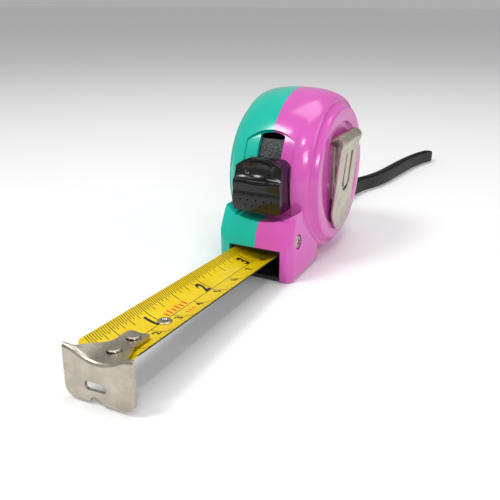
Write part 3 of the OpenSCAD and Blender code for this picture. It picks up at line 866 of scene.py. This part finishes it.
@dataclass
class Blade:
    """The hollow steel blade, its printed scale and the hook at its end."""

    width: float = 16.0
    crown: float = 3.15
    thick: float = 0.25
    drawn: float = 76.7
    mouth_y: float = -30.0
    edge_z: float = 8.65
    pitch: float = 3.0
    inner: float = 36.0
    stiff: float = 24.0
    coil_z: float = 9.55
    start: float = 1.25
    rivets: tuple[float, ...] = (5.7, 12.9)
    rivet_x: float = -0.25
    eyelet: float = 25.6
    hook_width: float = 19.2
    hook_drop: float = 12.3
    hook_t: float = 0.8
    hook_lift: float = 0.36
    hook_tilt: float = 1.5

    @property
    def hollow_r(self) -> float:
        """Radius of the blade's hollow."""
        return ((self.width / 2) ** 2 + self.crown ** 2) / (2 * self.crown)

    @property
    def way(self) -> Vector:
        """The direction in which the blade is drawn out."""
        lean = math.radians(self.pitch)
        return Vector((0, -math.cos(lean), math.sin(lean)))

    def at(self, across: float, along: float, up: float = 0.0) -> Point3:
        """Finds the place of a point that is given on the blade.

        Args:
            across: Distance round the hollow from its middle, towards +X.
            along: Distance from the hook's inner face.
            up: Height above the printed face.

        Returns:
            The point in the row's frame, in millimetres.
        """
        r = self.hollow_r
        s = along - self.drawn
        flat = ease(6, 34, s) * 0.9
        turn = across / r * (1 - flat)
        x = (r - up) * math.sin(turn) + across * flat
        h = (r - self.crown) - (r - up) * math.cos(turn)
        lean = math.radians(self.pitch)
        y = self.mouth_y + s * math.cos(lean) + h * math.sin(lean)
        z = self.edge_z - s * math.sin(lean) + h * math.cos(lean)
        climb = ease(8, 36, s)
        middle = self.coil_z - (self.edge_z - s * math.sin(lean) - self.crown)
        return (x, y, z + climb * middle)

    def wrap(self, obj: bpy.types.Object) -> bpy.types.Object:
        """Lays a flat piece, drawn as across, along and up, on the printed face.

        Args:
            obj: The flat piece.

        Returns:
            The same piece, wrapped.
        """
        for vertex in obj.data.vertices:
            vertex.co = self.at(*vertex.co)
        obj.data.update()
        return obj

    def bend(self, obj: bpy.types.Object) -> bpy.types.Object:
        """Bakes a piece's place into its mesh and leaves the object at the origin.

        Args:
            obj: The finished piece, in metres.

        Returns:
            The same piece.
        """
        start = Vector(self.at(0, self.stiff)) * MM
        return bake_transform(obj)

    def strip(self) -> bpy.types.Object:
        """The blade itself, in one length from the hook to the coil."""
        arc_half = self.hollow_r * math.asin(self.width / 2 / self.hollow_r)
        length = self.drawn + self.inner
        bpy.ops.object.select_all(action="DESELECT")
        bpy.ops.mesh.primitive_grid_add(x_subdivisions=28, y_subdivisions=220, size=2)
        strip = bpy.context.active_object
        strip.name = strip.data.name = "blade_strip"
        for vertex in strip.data.vertices:
            along = self.start + (vertex.co.y + 1) / 2 * (length - self.start)
            vertex.co = self.at(vertex.co.x * arc_half, along)
        for finish in (YELLOW, BLACK_BACK_AND_PAINTED_SHADE):
            strip.data.materials.append(finish.material())
        Bench.edit(strip, lambda: bpy.ops.mesh.normals_make_consistent(inside=False))
        up = sum(p.normal.z for p in strip.data.polygons)
        if up < 0:
            Bench.edit(strip, lambda: bpy.ops.mesh.flip_normals())
        Bench.apply(strip, "SOLIDIFY", thickness=self.thick, offset=-1.0, material_offset=1,
                    material_offset_rim=1)
        for spot, x in [(d, self.rivet_x) for d in self.rivets] + [(self.eyelet, 0.0)]:
            hole = Bench.turned("hole", [(0, -8), (1.25, -8), (1.25, 2), (0, 2)], 32)
            Bench.combine(strip, Join.CUT, Bench.place(hole, self.pose(spot, x)))
        for side in (-1, 1):
            clip = [(side * 6.2, 0.3), (side * 9.5, 5.25), (side * 9.5, 0.3)]
            corner = Bench.prism("corner", clip, Axis.Z, -2, 8)
            Bench.combine(strip, Join.CUT, Bench.place(corner, self.pose(0.0)))
        Bench.finish(strip, YELLOW, None, ["blade_tip", "blade_run"])
        return self.bend(strip)

    def pose(self, along: float, x: float = 0.0, up: float = 0.0) -> Matrix:
        """Where a part that stands on the blade's middle goes.

        Args:
            along: Distance from the hook's inner face.
            x: Its distance from the middle.
            up: Height above the printed face.

        Returns:
            The matrix from the part's own frame.
        """
        turn = Matrix.Rotation(math.radians(-self.pitch), 4, "X")
        return Matrix.Translation(self.at(0, along, up)) @ turn @ Matrix.Translation((x, 0, 0))

    def tick(self, along: float, start: float, end: float, wide: float) -> bpy.types.Object:
        """One flat printed line across the blade.

        Args:
            along: Its distance from the hook's inner face.
            start: Where it starts across the blade.
            end: Where it ends.
            wide: Its width.

        Returns:
            The line, still flat.
        """
        bpy.ops.object.select_all(action="DESELECT")
        bpy.ops.mesh.primitive_grid_add(x_subdivisions=8, y_subdivisions=1, size=1)
        line = bpy.context.active_object
        for vertex in line.data.vertices:
            vertex.co = (start + (vertex.co.x + 0.5) * (end - start), along + vertex.co.y * wide, 0.0)
        return line

    def numeral(self, text: str, size: float, across: float, along: float,
                bold: float) -> bpy.types.Object:
        """A printed numeral, read with the hook on its left.

        Args:
            text: The numeral.
            size: Its height.
            across: Middle of it across the blade.
            along: Its right edge.
            bold: How much its strokes are thickened.

        Returns:
            The numeral, still flat.
        """
        bpy.ops.object.select_all(action="DESELECT")
        bpy.ops.object.text_add()
        letter = bpy.context.active_object
        letter.data.body = text
        letter.data.size = size / 0.7
        letter.data.offset = bold
        letter.data.align_x = "RIGHT"
        bpy.ops.object.convert(target="MESH")
        letter = bpy.context.active_object
        narrow = 0.92
        for vertex in letter.data.vertices:
            x, y = vertex.co.x * narrow, vertex.co.y
            vertex.co = (across + size / 2 - y, along + x, 0.0)
        return letter

    def printed(self, parts: list[bpy.types.Object], name: str, finish: Finish,
                lift: float) -> bpy.types.Object:
        """Wraps flat print on the blade and gives it a skin's thickness.

        Args:
            parts: The flat pieces.
            name: Name of the joined print.
            finish: The ink.
            lift: Height of the ink above the lacquer.

        Returns:
            The finished print.
        """
        ink = Bench.weld(parts, name)
        ink.data.materials.clear()
        cuts = [lambda x=x: bpy.ops.mesh.bisect(plane_co=(x, 0, 0), plane_no=(1, 0, 0))
                for x in [0.5 * i for i in range(-16, 17)]]
        for cut in cuts:
            Bench.edit(ink, cut)
        Bench.edit(ink, lambda: bpy.ops.mesh.remove_doubles(threshold=0.0005),
                   lambda: bpy.ops.mesh.quads_convert_to_tris(),
                   lambda: bpy.ops.mesh.normals_make_consistent(inside=False))
        for polygon in ink.data.polygons:
            if polygon.normal.z < 0:
                polygon.flip()
        ink.data.update()
        for vertex in ink.data.vertices:
            vertex.co.z = lift
        self.wrap(ink)
        Bench.apply(ink, "SOLIDIFY", thickness=lift + 0.02, offset=-1.0)
        Bench.finish(ink, finish, None)
        return self.bend(ink)

    def inch_ticks(self) -> list[bpy.types.Object]:
        """The inch scale along the left edge, down to 1/32."""
        edge = -self.hollow_r * math.asin(self.width / 2 / self.hollow_r) + 0.06
        reach = {32: 7.9, 16: 5.4, 8: 4.5, 4: 3.7, 2: 2.9, 1: 2.4}
        lines = []
        for step in range(6, int((self.drawn + 14) / INCH * 32)):
            share = next(s for s in reach if step % s == 0)
            wide = 0.24 if share >= 16 else 0.19
            lines.append(self.tick(step * INCH / 32, edge, edge + reach[share], wide))
        return lines

    def centimetre_ticks(self) -> list[bpy.types.Object]:
        """The millimetre scale along the right edge."""
        edge = self.hollow_r * math.asin(self.width / 2 / self.hollow_r) - 0.06
        lines = []
        for step in range(5, int(self.drawn + 14)):
            reach = edge + 0.3 if step % 10 == 0 else 2.6 if step % 5 == 0 else 1.7
            lines.append(self.tick(step, edge - reach, edge, 0.19))
        return lines

    def scale(self) -> list[bpy.types.Object]:
        """The whole printed scale, black and red."""
        black = self.inch_ticks() + self.centimetre_ticks()
        for x in (-0.36,):
            bpy.ops.mesh.primitive_grid_add(x_subdivisions=1, y_subdivisions=90, size=1)
            line = bpy.context.active_object
            length = self.drawn + 14
            for vertex in line.data.vertices:
                vertex.co = (x + vertex.co.x * 0.16, 1.2 + (vertex.co.y + 0.5) * (length - 1.2), 0.0)
            black.append(line)
        for inch in (1, 2, 3):
            black.append(self.numeral(str(inch), 4.1, -2.75, inch * INCH - 0.6, 0.22))
        for centimetre in range(1, 9):
            black.append(self.numeral(str(centimetre), 2.3, 2.1, centimetre * 10 - 0.4, 0.1))
        red = []
        for i in range(6):
            bar = self.tick(INCH + 3.6 + i * 1.75, -2.9 if i % 2 else -2.5, -0.9, 0.75)
            red.append(bar)
        for i in range(3):
            red.append(self.tick(33.2 + i * 1.5, 1.5, 2.7, 0.6))
        return [self.printed(black, "scale_black", BLACK_INK, 0.03),
                self.printed(red, "scale_red", RED_INK, 0.03)]

    def wing(self, x: float) -> float:
        """Height of the underside of the hook's top: along the hollow, then flatter.

        Args:
            x: Distance from the middle.

        Returns:
            The height over the blade's edges.
        """
        r, a = self.hollow_r - self.hook_lift, abs(x)
        middle = self.hollow_r - self.crown
        if a < 5.5:
            return middle - math.sqrt(r * r - a * a)
        return middle - math.sqrt(r * r - 30.25) + 0.549 * (a - 5.5) - 0.06 * (a - 5.5) ** 2

    def hook_sheet(self) -> bpy.types.Object:
        """The hook's sheet, bent from tongue to face plate, in the hook's own frame."""
        half, bend = self.hook_width / 2, 1.15
        bpy.ops.object.select_all(action="DESELECT")
        bpy.ops.mesh.primitive_grid_add(x_subdivisions=48, y_subdivisions=80, size=2)
        hook = bpy.context.active_object
        hook.name = hook.data.name = "end_hook_plate"
        front = -self.hook_t
        for vertex in hook.data.vertices:
            x, t = vertex.co.x * half, (vertex.co.y + 1) / 2
            top = self.wing(x) + self.hook_t
            turn = min(max((t - 0.3) / 0.15, 0.0), 1.0) * math.pi / 2
            down = min(t / 0.3, 1.0)
            out = max((t - 0.45) / 0.55, 0.0)
            y = front + bend - bend * math.cos(turn) + out * (16.4 - bend + self.hook_t)
            z = top - bend + bend * math.sin(turn)
            vertex.co = (x, y, z if down >= 1 else down * z - (1 - down) * self.hook_drop)
        Bench.edit(hook, lambda: bpy.ops.mesh.normals_make_consistent(inside=False))
        if sum(p.normal.z for p in hook.data.polygons) < 0:
            Bench.edit(hook, lambda: bpy.ops.mesh.flip_normals())
        return Bench.apply(hook, "SOLIDIFY", thickness=self.hook_t, offset=-1.0)

    def end_hook(self) -> bpy.types.Object:
        """The pressed hook: a face plate bent down from a tongue that follows the hollow."""
        half, low = self.hook_width / 2, -self.hook_drop
        hook = self.hook_sheet()
        waist = [(8.4, 0.1), (7.6, 0.3), (7.0, 0.65), (6.5, 1.6), (5.9, 3.1), (5.0, 5.0), (4.2, 6.4),
                 (3.6, 7.7), (3.15, 9.0), (3.0, 10.4), (3.1, 12.4), *arc((1.7, 14.3), 1.4, 0, 90, 8),
                 (-0.5, 15.71), (-0.5, 17.5)]
        for side in (-1, 1):
            tool = [(side * x, y) for x, y in [(half + 1, 0.05), *waist, (half + 1, 17.5)]]
            Bench.combine(hook, Join.CUT, Bench.prism("waist", tool, Axis.Z, -8, 8))
            round_off = [(half + 1, low - 1), (half + 1, low + 3), *arc((half - 3, low + 3), 3, 0, -90, 12),
                         (half - 3, low - 1)]
            tool = [(side * x, z) for x, z in round_off]
            Bench.combine(hook, Join.CUT, Bench.prism("corner", tool, Axis.Y, -4, 0.04))
        slot = [(-3.9, -8.6), (-3.5, -9.15), (-3.1, -9.3), *arc((1.2, -8.25), 1.05, -90, 90, 12),
                (-3.2, -7.2), (-3.6, -7.3), (-3.75, -7.7)]
        notch = [(-3.1, low - 1), (-2.75, low + 0.2), (-2.4, low + 0.9), (-1.9, low + 1.35),
                 (-1.4, low + 1.5), (-0.9, low + 1.45), (-0.4, low + 1.2), (1.2, low + 0.1), (2.4, low - 1)]
        for cut in (slot, notch):
            Bench.combine(hook, Join.CUT, Bench.prism("opening", cut, Axis.Y, -4, 2))
        for spot in self.rivets:
            oval = arc((self.rivet_x, spot), 1.25, 0, 180, 12)
            oval += arc((self.rivet_x, spot - 0.9), 1.25, 180, 360, 12)
            Bench.combine(hook, Join.CUT, Bench.prism("oval", oval, Axis.Z, -8, 8))
        Bench.soften(hook, 0.13, 2, 45)
        tilt = Matrix.Rotation(math.radians(-self.hook_tilt), 4, "Y")
        middle = Matrix.Translation((0, 0, -2.2)) @ tilt @ Matrix.Translation((0, 0, 2.2))
        lean = Matrix.Rotation(math.radians(-self.pitch), 4, "X")
        base = Matrix.Translation((0, self.mouth_y, self.edge_z)) @ lean
        Bench.place(hook, base @ Matrix.Translation((0, -self.drawn, 0)) @ middle)
        return Bench.finish(hook, PLATE, "hook", ["end_hook"], 30)

    def rivet_heads(self) -> bpy.types.Object:
        """Two rivets with low domed heads."""
        profile = [(0, -0.95), (1.8, -0.95), (2.0, -0.8), (2.0, -0.55), (1.15, -0.5), (1.15, 1.27),
                   (1.62, 1.27), (1.75, 1.36), (1.75, 1.62), (1.68, 1.76), (1.5, 1.84), (1.0, 1.88),
                   (0, 1.9)]
        parts = [Bench.place(Bench.turned("rivet", profile, 40), self.pose(spot, self.rivet_x))
                 for spot in self.rivets]
        rivets = Bench.weld(parts, "rivet_heads")
        return Bench.finish(rivets, PLATE, "blade", ["hook_rivets"], 40)

    def eyelet_ring(self) -> bpy.types.Object:
        """The small hollow eyelet, its rim rolled over."""
        profile = [(0.75, -0.75), (1.2, -0.8), (1.9, -0.7), (1.85, -0.42), (1.2, -0.4), (1.2, 0.12),
                   (1.75, 0.1), (1.95, 0.24), (1.7, 0.44), (1.2, 0.48), (0.85, 0.36), (0.7, 0.05)]
        ring = Bench.place(Bench.turned("eyelet_ring", profile, 40), self.pose(self.eyelet))
        return Bench.finish(Bench.tidy(ring), PLATE, "blade", ["blade_eyelet"], 50)

    def build(self) -> None:
        """Models the blade and all that is on it."""
        self.strip()
        self.scale()
        self.end_hook()
        self.rivet_heads()
        self.eyelet_ring()


# ---------------------------------------------------------------------------------------------
# Lock


@dataclass
class ThumbLock:
    """The gloss thumb button: a dished upper pad, a ridge and a pitted lower pad."""

    width: float = 16.6
    radius: float = 28.0
    centre: Point2 = (5.5, 28.05)
    mouth_y: float = -30.0

    def blank(self) -> bpy.types.Object:
        """The button's outer form, before its details."""
        y = self.mouth_y
        side = arc(self.centre, self.radius - 1.1, 194, 160.5, 16)
        side += [(y + 4.3, 38.6), (y + 3.4, 38.2), (y + 3.0, 36.5), (y + 2.6, 33.6), (y + 2.0, 32.2),
                 (y + 1.1, 31.5), (y + 0.8, 30.6), (y + 1.0, 29.4), (y + 1.25, 28.4)]
        side += arc((y + 10, 25.6), 9.1, 165, 212, 10)
        half = self.width / 2
        front = arc((0, 40.8), 20.8, 247, 293, 20) + [(half, 22.8), (half - 0.4, 35.3)]
        front += arc((0, 27), 11.6, 48, 132, 20) + [(0.4 - half, 35.3), (-half, 22.8)]
        blank = Bench.prism("thumb_button", side, Axis.X, -self.width, self.width)
        Bench.combine(blank, Join.KEEP, Bench.prism("front", front, Axis.Y, y - 2, self.centre[0]))
        return Bench.soften(blank, 0.55, 4, 30)

    def ball(self, at: Point3, size: Point3, lean: float = 0.0) -> bpy.types.Object:
        """A stretched ball to press into or raise from the button.

        Args:
            at: Its centre.
            size: Its half sizes.
            lean: Its turn about X in degrees.

        Returns:
            The new object.
        """
        profile = [(abs(x), z) for x, z in arc((0, 0), 1.0, -90, 90, 14)]
        ball = Bench.turned("ball", profile, 28)
        spin = Matrix.Translation(at) @ Matrix.Rotation(math.radians(lean), 4, "X")
        return Bench.place(ball, spin @ Matrix.Diagonal((*size, 1)))

    def build(self) -> bpy.types.Object:
        """Models the button and dresses it."""
        y = self.mouth_y
        button = self.blank()
        Bench.combine(button, Join.CUT, self.ball((0, y + 1.5, 34.9), (5.9, 2.5, 3.3), -14))
        for k, z in enumerate((31.75, 31.15, 30.55)):
            groove = [(x, zz) for x, zz in arc((0, z + 22.0), 22.0 + 0.13, 250.5, 289.5, 14)]
            groove += [(x, zz) for x, zz in arc((0, z + 22.0), 22.0 - 0.13, 289.5, 250.5, 14)]
            depth = 1.35 + 0.25 * (k == 0)
            Bench.combine(button, Join.CUT, Bench.prism("groove", groove, Axis.Y, y - 1, y + depth))
        bumps = []
        for z, row in ((36.6, (-3.6, -1.3, 1.1, 3.3)), (35.2, (-4.4, -1.5, 0.9, 3.2)),
                       (33.7, (-3.2, 0.0, 3.2))):
            for x in row:
                sink = max(1 - (x / 5.9) ** 2 - ((z - 34.9) / 3.4) ** 2, 0.05)
                depth = 1.5 + 2.5 * math.sqrt(sink) + 0.25 * (z - 34.9)
                bumps.append(self.ball((x, y + depth, z), (0.36, 0.36, 0.36)))
        Bench.combine(button, Join.ADD, *bumps)
        pits = [self.ball((x, y + 1.0 + 0.012 * (z - 25.6) ** 2, z), (0.3, 0.42, 0.3))
                for z, row in ((27.2, (-4.2, -1.4, 1.4, 4.2)), (25.4, (-5.4, -2.8, 0.0, 2.8, 5.4)),
                               (23.6, (-3.6, -1.2, 1.2, 3.6))) for x in row]
        Bench.combine(button, Join.CUT, *pits)
        return Bench.finish(Bench.tidy(button), GLOSS_BLACK, "lock", ["lock_button"], 40)


# ---------------------------------------------------------------------------------------------
# Clip


@dataclass
class BeltClip:
    """The hairpin belt clip, bent from one strip of spring steel."""

    width: float = 19.0
    thick: float = 0.8
    centre_y: float = 5.5
    floor_x: float = 14.6
    roll_r: float = 2.5
    top_z: float = 42.3
    tip_x: float = 16.05
    tip_z: float = 8.15

    def build(self) -> bpy.types.Object:
        """Models the clip in one piece.

        Returns:
            The finished clip.
        """
        roll_x, roll_z = self.floor_x + self.roll_r, self.top_z - self.roll_r
        inner, inset, knee = self.roll_r - self.thick, 0.5, 15.5
        gap = roll_x + inner - inset - self.tip_x
        turn = math.degrees(math.atan2(gap, roll_z - knee))
        outer = arc((roll_x, roll_z), self.roll_r, 180, -turn - 30, 36)
        inside = arc((roll_x, roll_z), inner, -turn - 14, 180, 36)
        face = self.tip_x + self.thick
        lean = math.tan(math.radians(turn))
        start = (face + lean * (roll_z - 2.1 - knee), roll_z - 2.1)
        leaf_out = [start, (face, knee), (face + 0.12, self.tip_z)]
        leaf_in = [(face + 0.12 - self.thick, self.tip_z), (face - self.thick, knee),
                   (start[0] - self.thick, roll_z - 1.9)]
        side = [(self.floor_x, 20.0), *outer, *leaf_out, *leaf_in, *inside,
                (self.floor_x + self.thick, 20.0)]
        half = self.width / 2
        clip = Bench.prism("belt_clip_strip", side, Axis.Y,
                           self.centre_y - half - 1, self.centre_y + half + 1)
        tip = self.tip_z + half
        leaf = [(self.centre_y - half, roll_z + 9), *arc((self.centre_y, tip), half, 180, 360, 28),
                (self.centre_y + half, roll_z + 9)]
        leg = [(self.centre_y - 6, 10.0), (self.centre_y + 6, 10.0), (self.centre_y + 6, roll_z - 1.5),
               (self.centre_y + half, roll_z + 0.8), (self.centre_y + half, roll_z + 9),
               (self.centre_y - half, roll_z + 9), (self.centre_y - half, roll_z + 0.8),
               (self.centre_y - 6, roll_z - 1.5)]
        mask = Bench.prism("leaf", leaf, Axis.X, self.floor_x + self.thick + 0.15, 40)
        Bench.combine(mask, Join.ADD, Bench.prism("leg", leg, Axis.X, 0, self.floor_x + self.thick + 0.3))
        Bench.combine(clip, Join.KEEP, mask)
        low, wide, narrow, top = roll_z - 14, 3.7, 2.1, roll_z - 4
        slot = [(self.centre_y + wide + 0.6, top), (self.centre_y + narrow - 0.5, top),
                *arc((self.centre_y - 0.1, low), narrow, 0, -180, 14),
                (self.centre_y - narrow - 0.3, top), (self.centre_y - wide, top),
                *arc((self.centre_y, low), wide, 180, 360, 18)]
        Bench.combine(clip, Join.CUT, Bench.prism("slot", slot, Axis.X, self.floor_x + 1.4, 40))
        hole = CaseShell(Hand.CLIP, "", "", PLATE).rod("hole", (5.5, 28.05), 1.5, 10, self.floor_x + 1.3)
        Bench.combine(clip, Join.CUT, hole)
        Bench.soften(clip, 0.16, 2, 45)
        Bench.finish(Bench.tidy(clip), CLIP_PLATE, None, ["clip_base", "clip_leaf"], 30)
        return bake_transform(clip)


# ---------------------------------------------------------------------------------------------
# Screws and strap


@dataclass
class CrossScrew:
    """A pan-head screw with a cross recess, its axis along X."""

    name: str
    node: str
    at: tuple[Point3, ...]
    head_r: float
    head_h: float
    shank_r: float
    length: float

    def build(self) -> bpy.types.Object:
        """Models one screw, copies it to each place and dresses the set."""
        dome = [(self.head_r * math.sin(math.radians(a)), self.head_h * math.cos(math.radians(a)) ** 0.6)
                for a in (80, 65, 50, 35, 20, 8)]
        profile = [(0.0, -self.length), (self.shank_r * 0.5, -self.length),
                   (self.shank_r, 0.8 - self.length), (self.shank_r, 0.0), (self.head_r, 0.0),
                   *dome, (0.0, self.head_h)]
        screw = Bench.turned("screw", profile, 48)
        for across in (0, 90):
            arm = [(-self.head_r * 0.62, self.head_h * 0.45), (-self.head_r * 0.5, self.head_h * 0.1),
                   (self.head_r * 0.5, self.head_h * 0.1), (self.head_r * 0.62, self.head_h * 0.45),
                   (self.head_r * 0.62, self.head_h * 2), (-self.head_r * 0.62, self.head_h * 2)]
            tool = Bench.prism("arm", arm, Axis.Y, -0.26, 0.26)
            turn = Matrix.Rotation(math.radians(across + 20), 4, "Z")
            Bench.combine(screw, Join.CUT, Bench.place(tool, turn))
        Bench.soften(screw, 0.05, 1, 40)
        screws = [screw]
        for _ in self.at[1:]:
            copy = screw.copy()
            copy.data = screw.data.copy()
            bpy.context.collection.objects.link(copy)
            screws.append(copy)
        for each, place in zip(screws, self.at):
            Bench.place(each, Matrix.Translation(place) @ Matrix.Rotation(math.pi / 2, 4, "Y"))
        joined = Bench.tidy(Bench.weld(screws, self.name))
        return Bench.finish(joined, PLATE, "case", [self.node], 35)


@dataclass
class WristStrap:
    """Flat webbing doubled into a loop, which lies behind the case on its edge."""

    width: float = 5.2
    thick: float = 1.2
    # X, Y, Z in millimetres, and the turn of the webbing: 0 lies flat, 90 stands on edge.
    route: list[tuple[float, float, float, float]] = field(default_factory=lambda: [
        (0, 22.4, 10.2, 0), (0, 25.4, 7.5, 0), (0.4, 29, 5.4, 10), (1, 35, 4, 40),
        (1.4, 42, 3.2, 70), (1.2, 50, 2.8, 88), (0.8, 60, 2.8, 90), (0.9, 70, 2.8, 90),
        (2.6, 80, 2.8, 90), (6, 89, 2.8, 90), (8.4, 99, 2.8, 90), (9.8, 110, 2.8, 90),
        (11.3, 122, 2.8, 90), (13.1, 134, 2.8, 90), (15.6, 145, 2.8, 90), (18.2, 152, 2.8, 90),
        (18.6, 155, 2.8, 90), (16.8, 156.6, 2.8, 90), (14.8, 155.4, 2.8, 90),
        (13.8, 152.6, 2.8, 90), (11.6, 146, 2.8, 90), (9.2, 135, 2.8, 90), (7.3, 123, 2.8, 90),
        (5.8, 111, 2.8, 90), (4.2, 100, 2.8, 90), (1.8, 91, 2.8, 90), (-1.6, 82, 2.8, 90),
        (-3.1, 71, 2.8, 90), (-3.2, 60, 2.8, 90), (-2.9, 51, 2.8, 88), (-2.4, 44, 3.4, 72),
        (-1.6, 38, 4.4, 45), (-0.5, 32.5, 7, 15), (0, 28.6, 9.8, 0), (0, 25, 13, 0)])

    def line(self, steps: int = 10) -> list[tuple[Vector, float]]:
        """The route as closely spaced points with the webbing's turn at each.

        Args:
            steps: Points to each stretch of the route.

        Returns:
            Points and turns in degrees.
        """
        out = []
        knots = [Vector(p) for p in self.route]
        last = len(knots) - 1
        for i in range(last):
            p, q, r, s = knots[max(i - 1, 0)], knots[i], knots[i + 1], knots[min(i + 2, last)]
            for k in range(steps + (i == last - 1)):
                t = k / steps
                at = 0.5 * (2 * q + (r - p) * t + (2 * p - 5 * q + 4 * r - s) * t * t
                            + (3 * q - p - 3 * r + s) * t ** 3)
                out.append((at.to_3d(), at[3]))
        return out

    def build(self) -> bpy.types.Object:
        line = self.line()
        w, e = self.width / 2 - 0.03, self.thick / 2 - 0.02
        section = [(w, 0.0), (w - 0.08, 0.62 * e), (w - 0.45, e), (w * 0.6, e * 0.9), (w * 0.2, e),
                   (-w * 0.2, e), (-w * 0.6, e * 0.9), (0.45 - w, e), (0.08 - w, 0.62 * e)]
        section += [(-x, -z) for x, z in section[:1]]
        section += [(-x, -z) for x, z in section[1:9]]
        count, rows = len(section), len(line)
        bpy.ops.object.select_all(action="DESELECT")
        bpy.ops.mesh.primitive_cylinder_add(vertices=count, radius=1, depth=1, end_fill_type="NGON")
        strap = bpy.context.active_object
        strap.name = strap.data.name = "wrist_strap_web"
        rings: list[list[Vector]] = []
        gone = 0.0
        lengths = []
        for i, (at, lean) in enumerate(line):
            ahead = line[min(i + 1, rows - 1)][0] - line[max(i - 1, 0)][0]
            along = ahead.normalized()
            wide = Vector((math.cos(math.radians(lean)), 0, math.sin(math.radians(lean))))
            wide = (wide - along * wide.dot(along)).normalized()
            over = along.cross(wide)
            gone += (at - line[i - 1][0]).length if i else 0.0
            lengths.append(gone)
            rings.append([at + wide * a + over * b for a, b in section])
        corners = [tuple(p) for ring in rings for p in ring]
        faces = [[(i + 1) * count + j, (i + 1) * count + (j + 1) % count,
                  i * count + (j + 1) % count, i * count + j]
                 for i in range(rows - 1) for j in range(count)]
        faces += [list(range(count)), [(rows - 1) * count + j for j in reversed(range(count))]]
        strap.data.clear_geometry()
        strap.data.from_pydata(corners, [], faces)
        strap.data.update()
        weave = strap.data.uv_layers.new(name="Weave")
        for polygon in strap.data.polygons:
            for loop in polygon.loop_indices:
                row, j = divmod(strap.data.loops[loop].vertex_index, count)
                weave.data[loop].uv = (lengths[row], section[j][0])
        Bench.edit(strap, lambda: bpy.ops.mesh.normals_make_consistent(inside=False))
        Bench.finish(strap, BLACK_WEB, "case", ["wrist_strap"], 50)
        path = [at * MM for at, _ in line]
        LOG.info("strap length %.1f mm", gone)
        round(gone * MM, 4)
        return strap


# ---------------------------------------------------------------------------------------------
# Studio


@dataclass
class Studio:
    """Plain pale floor, soft lights and the camera."""

    eye: Point3 = (81.94, -197.89, 83.78)
    azimuth: float = 26.42
    elevation: float = 21.73
    lens: float = 45.4

    def camera(self) -> None:
        """Sets the camera."""
        data = bpy.data.cameras.new("camera")
        data.lens, data.sensor_width = self.lens, 36.0
        data.clip_start, data.clip_end = 0.01, 20.0
        camera = bpy.data.objects.new("camera", data)
        bpy.context.scene.collection.objects.link(camera)
        a, e = math.radians(self.azimuth), math.radians(self.elevation)
        look = Vector((-math.sin(a) * math.cos(e), math.cos(a) * math.cos(e), -math.sin(e)))
        camera.location = Vector(self.eye) * MM
        camera.rotation_euler = look.to_track_quat("-Z", "Y").to_euler()
        bpy.context.scene.camera = camera

    def lamp(self, name: str, at: Point3, size: float, power: float) -> None:
        """Adds a square soft light aimed at the case.

        Args:
            name: Its name.
            at: Its place in metres.
            size: Its side in metres.
            power: Its power in watts.
        """
        data = bpy.data.lights.new(name, "AREA")
        data.size, data.energy = size, power
        lamp = bpy.data.objects.new(name, data)
        bpy.context.scene.collection.objects.link(lamp)
        lamp.location = at
        lamp.rotation_euler = (Vector((0, 0, 0.025)) - Vector(at)).to_track_quat("-Z", "Y").to_euler()

    def build(self) -> None:
        """Sets the stage."""
        bpy.ops.object.select_all(action="DESELECT")
        bpy.ops.mesh.primitive_plane_add(size=12, location=(0, 0, -0.0004))
        floor = bpy.context.active_object
        floor.name = "floor"
        shop = Shop("Pale floor")
        floor.data.materials.append(shop.wire(Base_Color=(0.93, 0.93, 0.93, 1.0), Roughness=0.8))
        world = bpy.data.worlds.new("studio")
        world.use_nodes = True
        world.node_tree.nodes["Background"].inputs["Color"].default_value = (1, 1, 1, 1)
        world.node_tree.nodes["Background"].inputs["Strength"].default_value = 0.42
        bpy.context.scene.world = world
        bpy.context.scene.view_settings.view_transform = "Standard"
        self.lamp("key", (-0.22, -0.30, 0.55), 0.18, 1.6)
        self.lamp("front", (0.34, -0.42, 0.30), 0.14, 0.55)
        self.lamp("top", (0.05, 0.12, 0.60), 0.35, 1.0)
        self.lamp("side", (0.55, 0.15, 0.30), 0.3, 0.45)
        self.lamp("spark", (0.16, -0.34, 0.46), 0.035, 0.3)
        self.lamp("spark_low", (0.30, -0.30, 0.20), 0.03, 0.12)


@dataclass
class HiddenParts:
    """CAD nodes whose shape is right and that only need their finish."""

    finishes: dict[str, Finish] = field(default_factory=lambda: {
        "mouth_guide": MATTE_BLACK, "spool_drum": MATTE_BLACK, "spool_cover": MATTE_BLACK,
        "lock_slider": COARSE_BLACK, "brake_pad": MATTE_BLACK, "power_spring": STRIP_STEEL,
        "detent_spring": STRIP_STEEL, "centre_post": PLATE, "strap_pin": PLATE,
        # The blade coil is dressed all in the black back finish: its outside is the blade's black back, and
        # the black over its yellow face and edges is painted shade that makes it read dark through the
        # slot.
        "spool_washers": ACETAL, "blade_coil": BLACK_BACK_AND_PAINTED_SHADE})

    def dress(self, nodes: dict[str, bpy.types.Object]) -> None:
        """Gives each node its material.

        Args:
            nodes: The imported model's objects by node name.
        """
        for name, finish in self.finishes.items():
            data = nodes[name].data
            data.materials.clear()
            data.materials.append(finish.material())
            LOG.info("%s dressed in %s", name, finish.name)


def main() -> None:
    """Builds the tape measure round its frame."""
    logging.basicConfig(level=logging.INFO, format="%(message)s")
    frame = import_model()
    Studio().camera()
    WristStrap().build()
    Studio().build()
    HiddenParts().dress(frame["nodes"])
    CaseShell(Hand.PLAIN, "case_shell_teal", "left_shell", TEAL).build()
    CaseShell(Hand.CLIP, "case_shell_orchid", "right_shell", PINK).build()
    Blade().build()
    ThumbLock().build()
    BeltClip().build()
    CrossScrew("case_screw_set", "case_screws", ((12.05, -24.3, 12.3), (13.5, 27.11, 35.92)),
               2.2, 0.9, 1.25, 19).build()
    CrossScrew("clip_screw_pan", "clip_screw", ((15.42, 5.5, 28.05),), 2.6, 1.06, 1.08, 10).build()


if __name__ == "__main__":
    main()
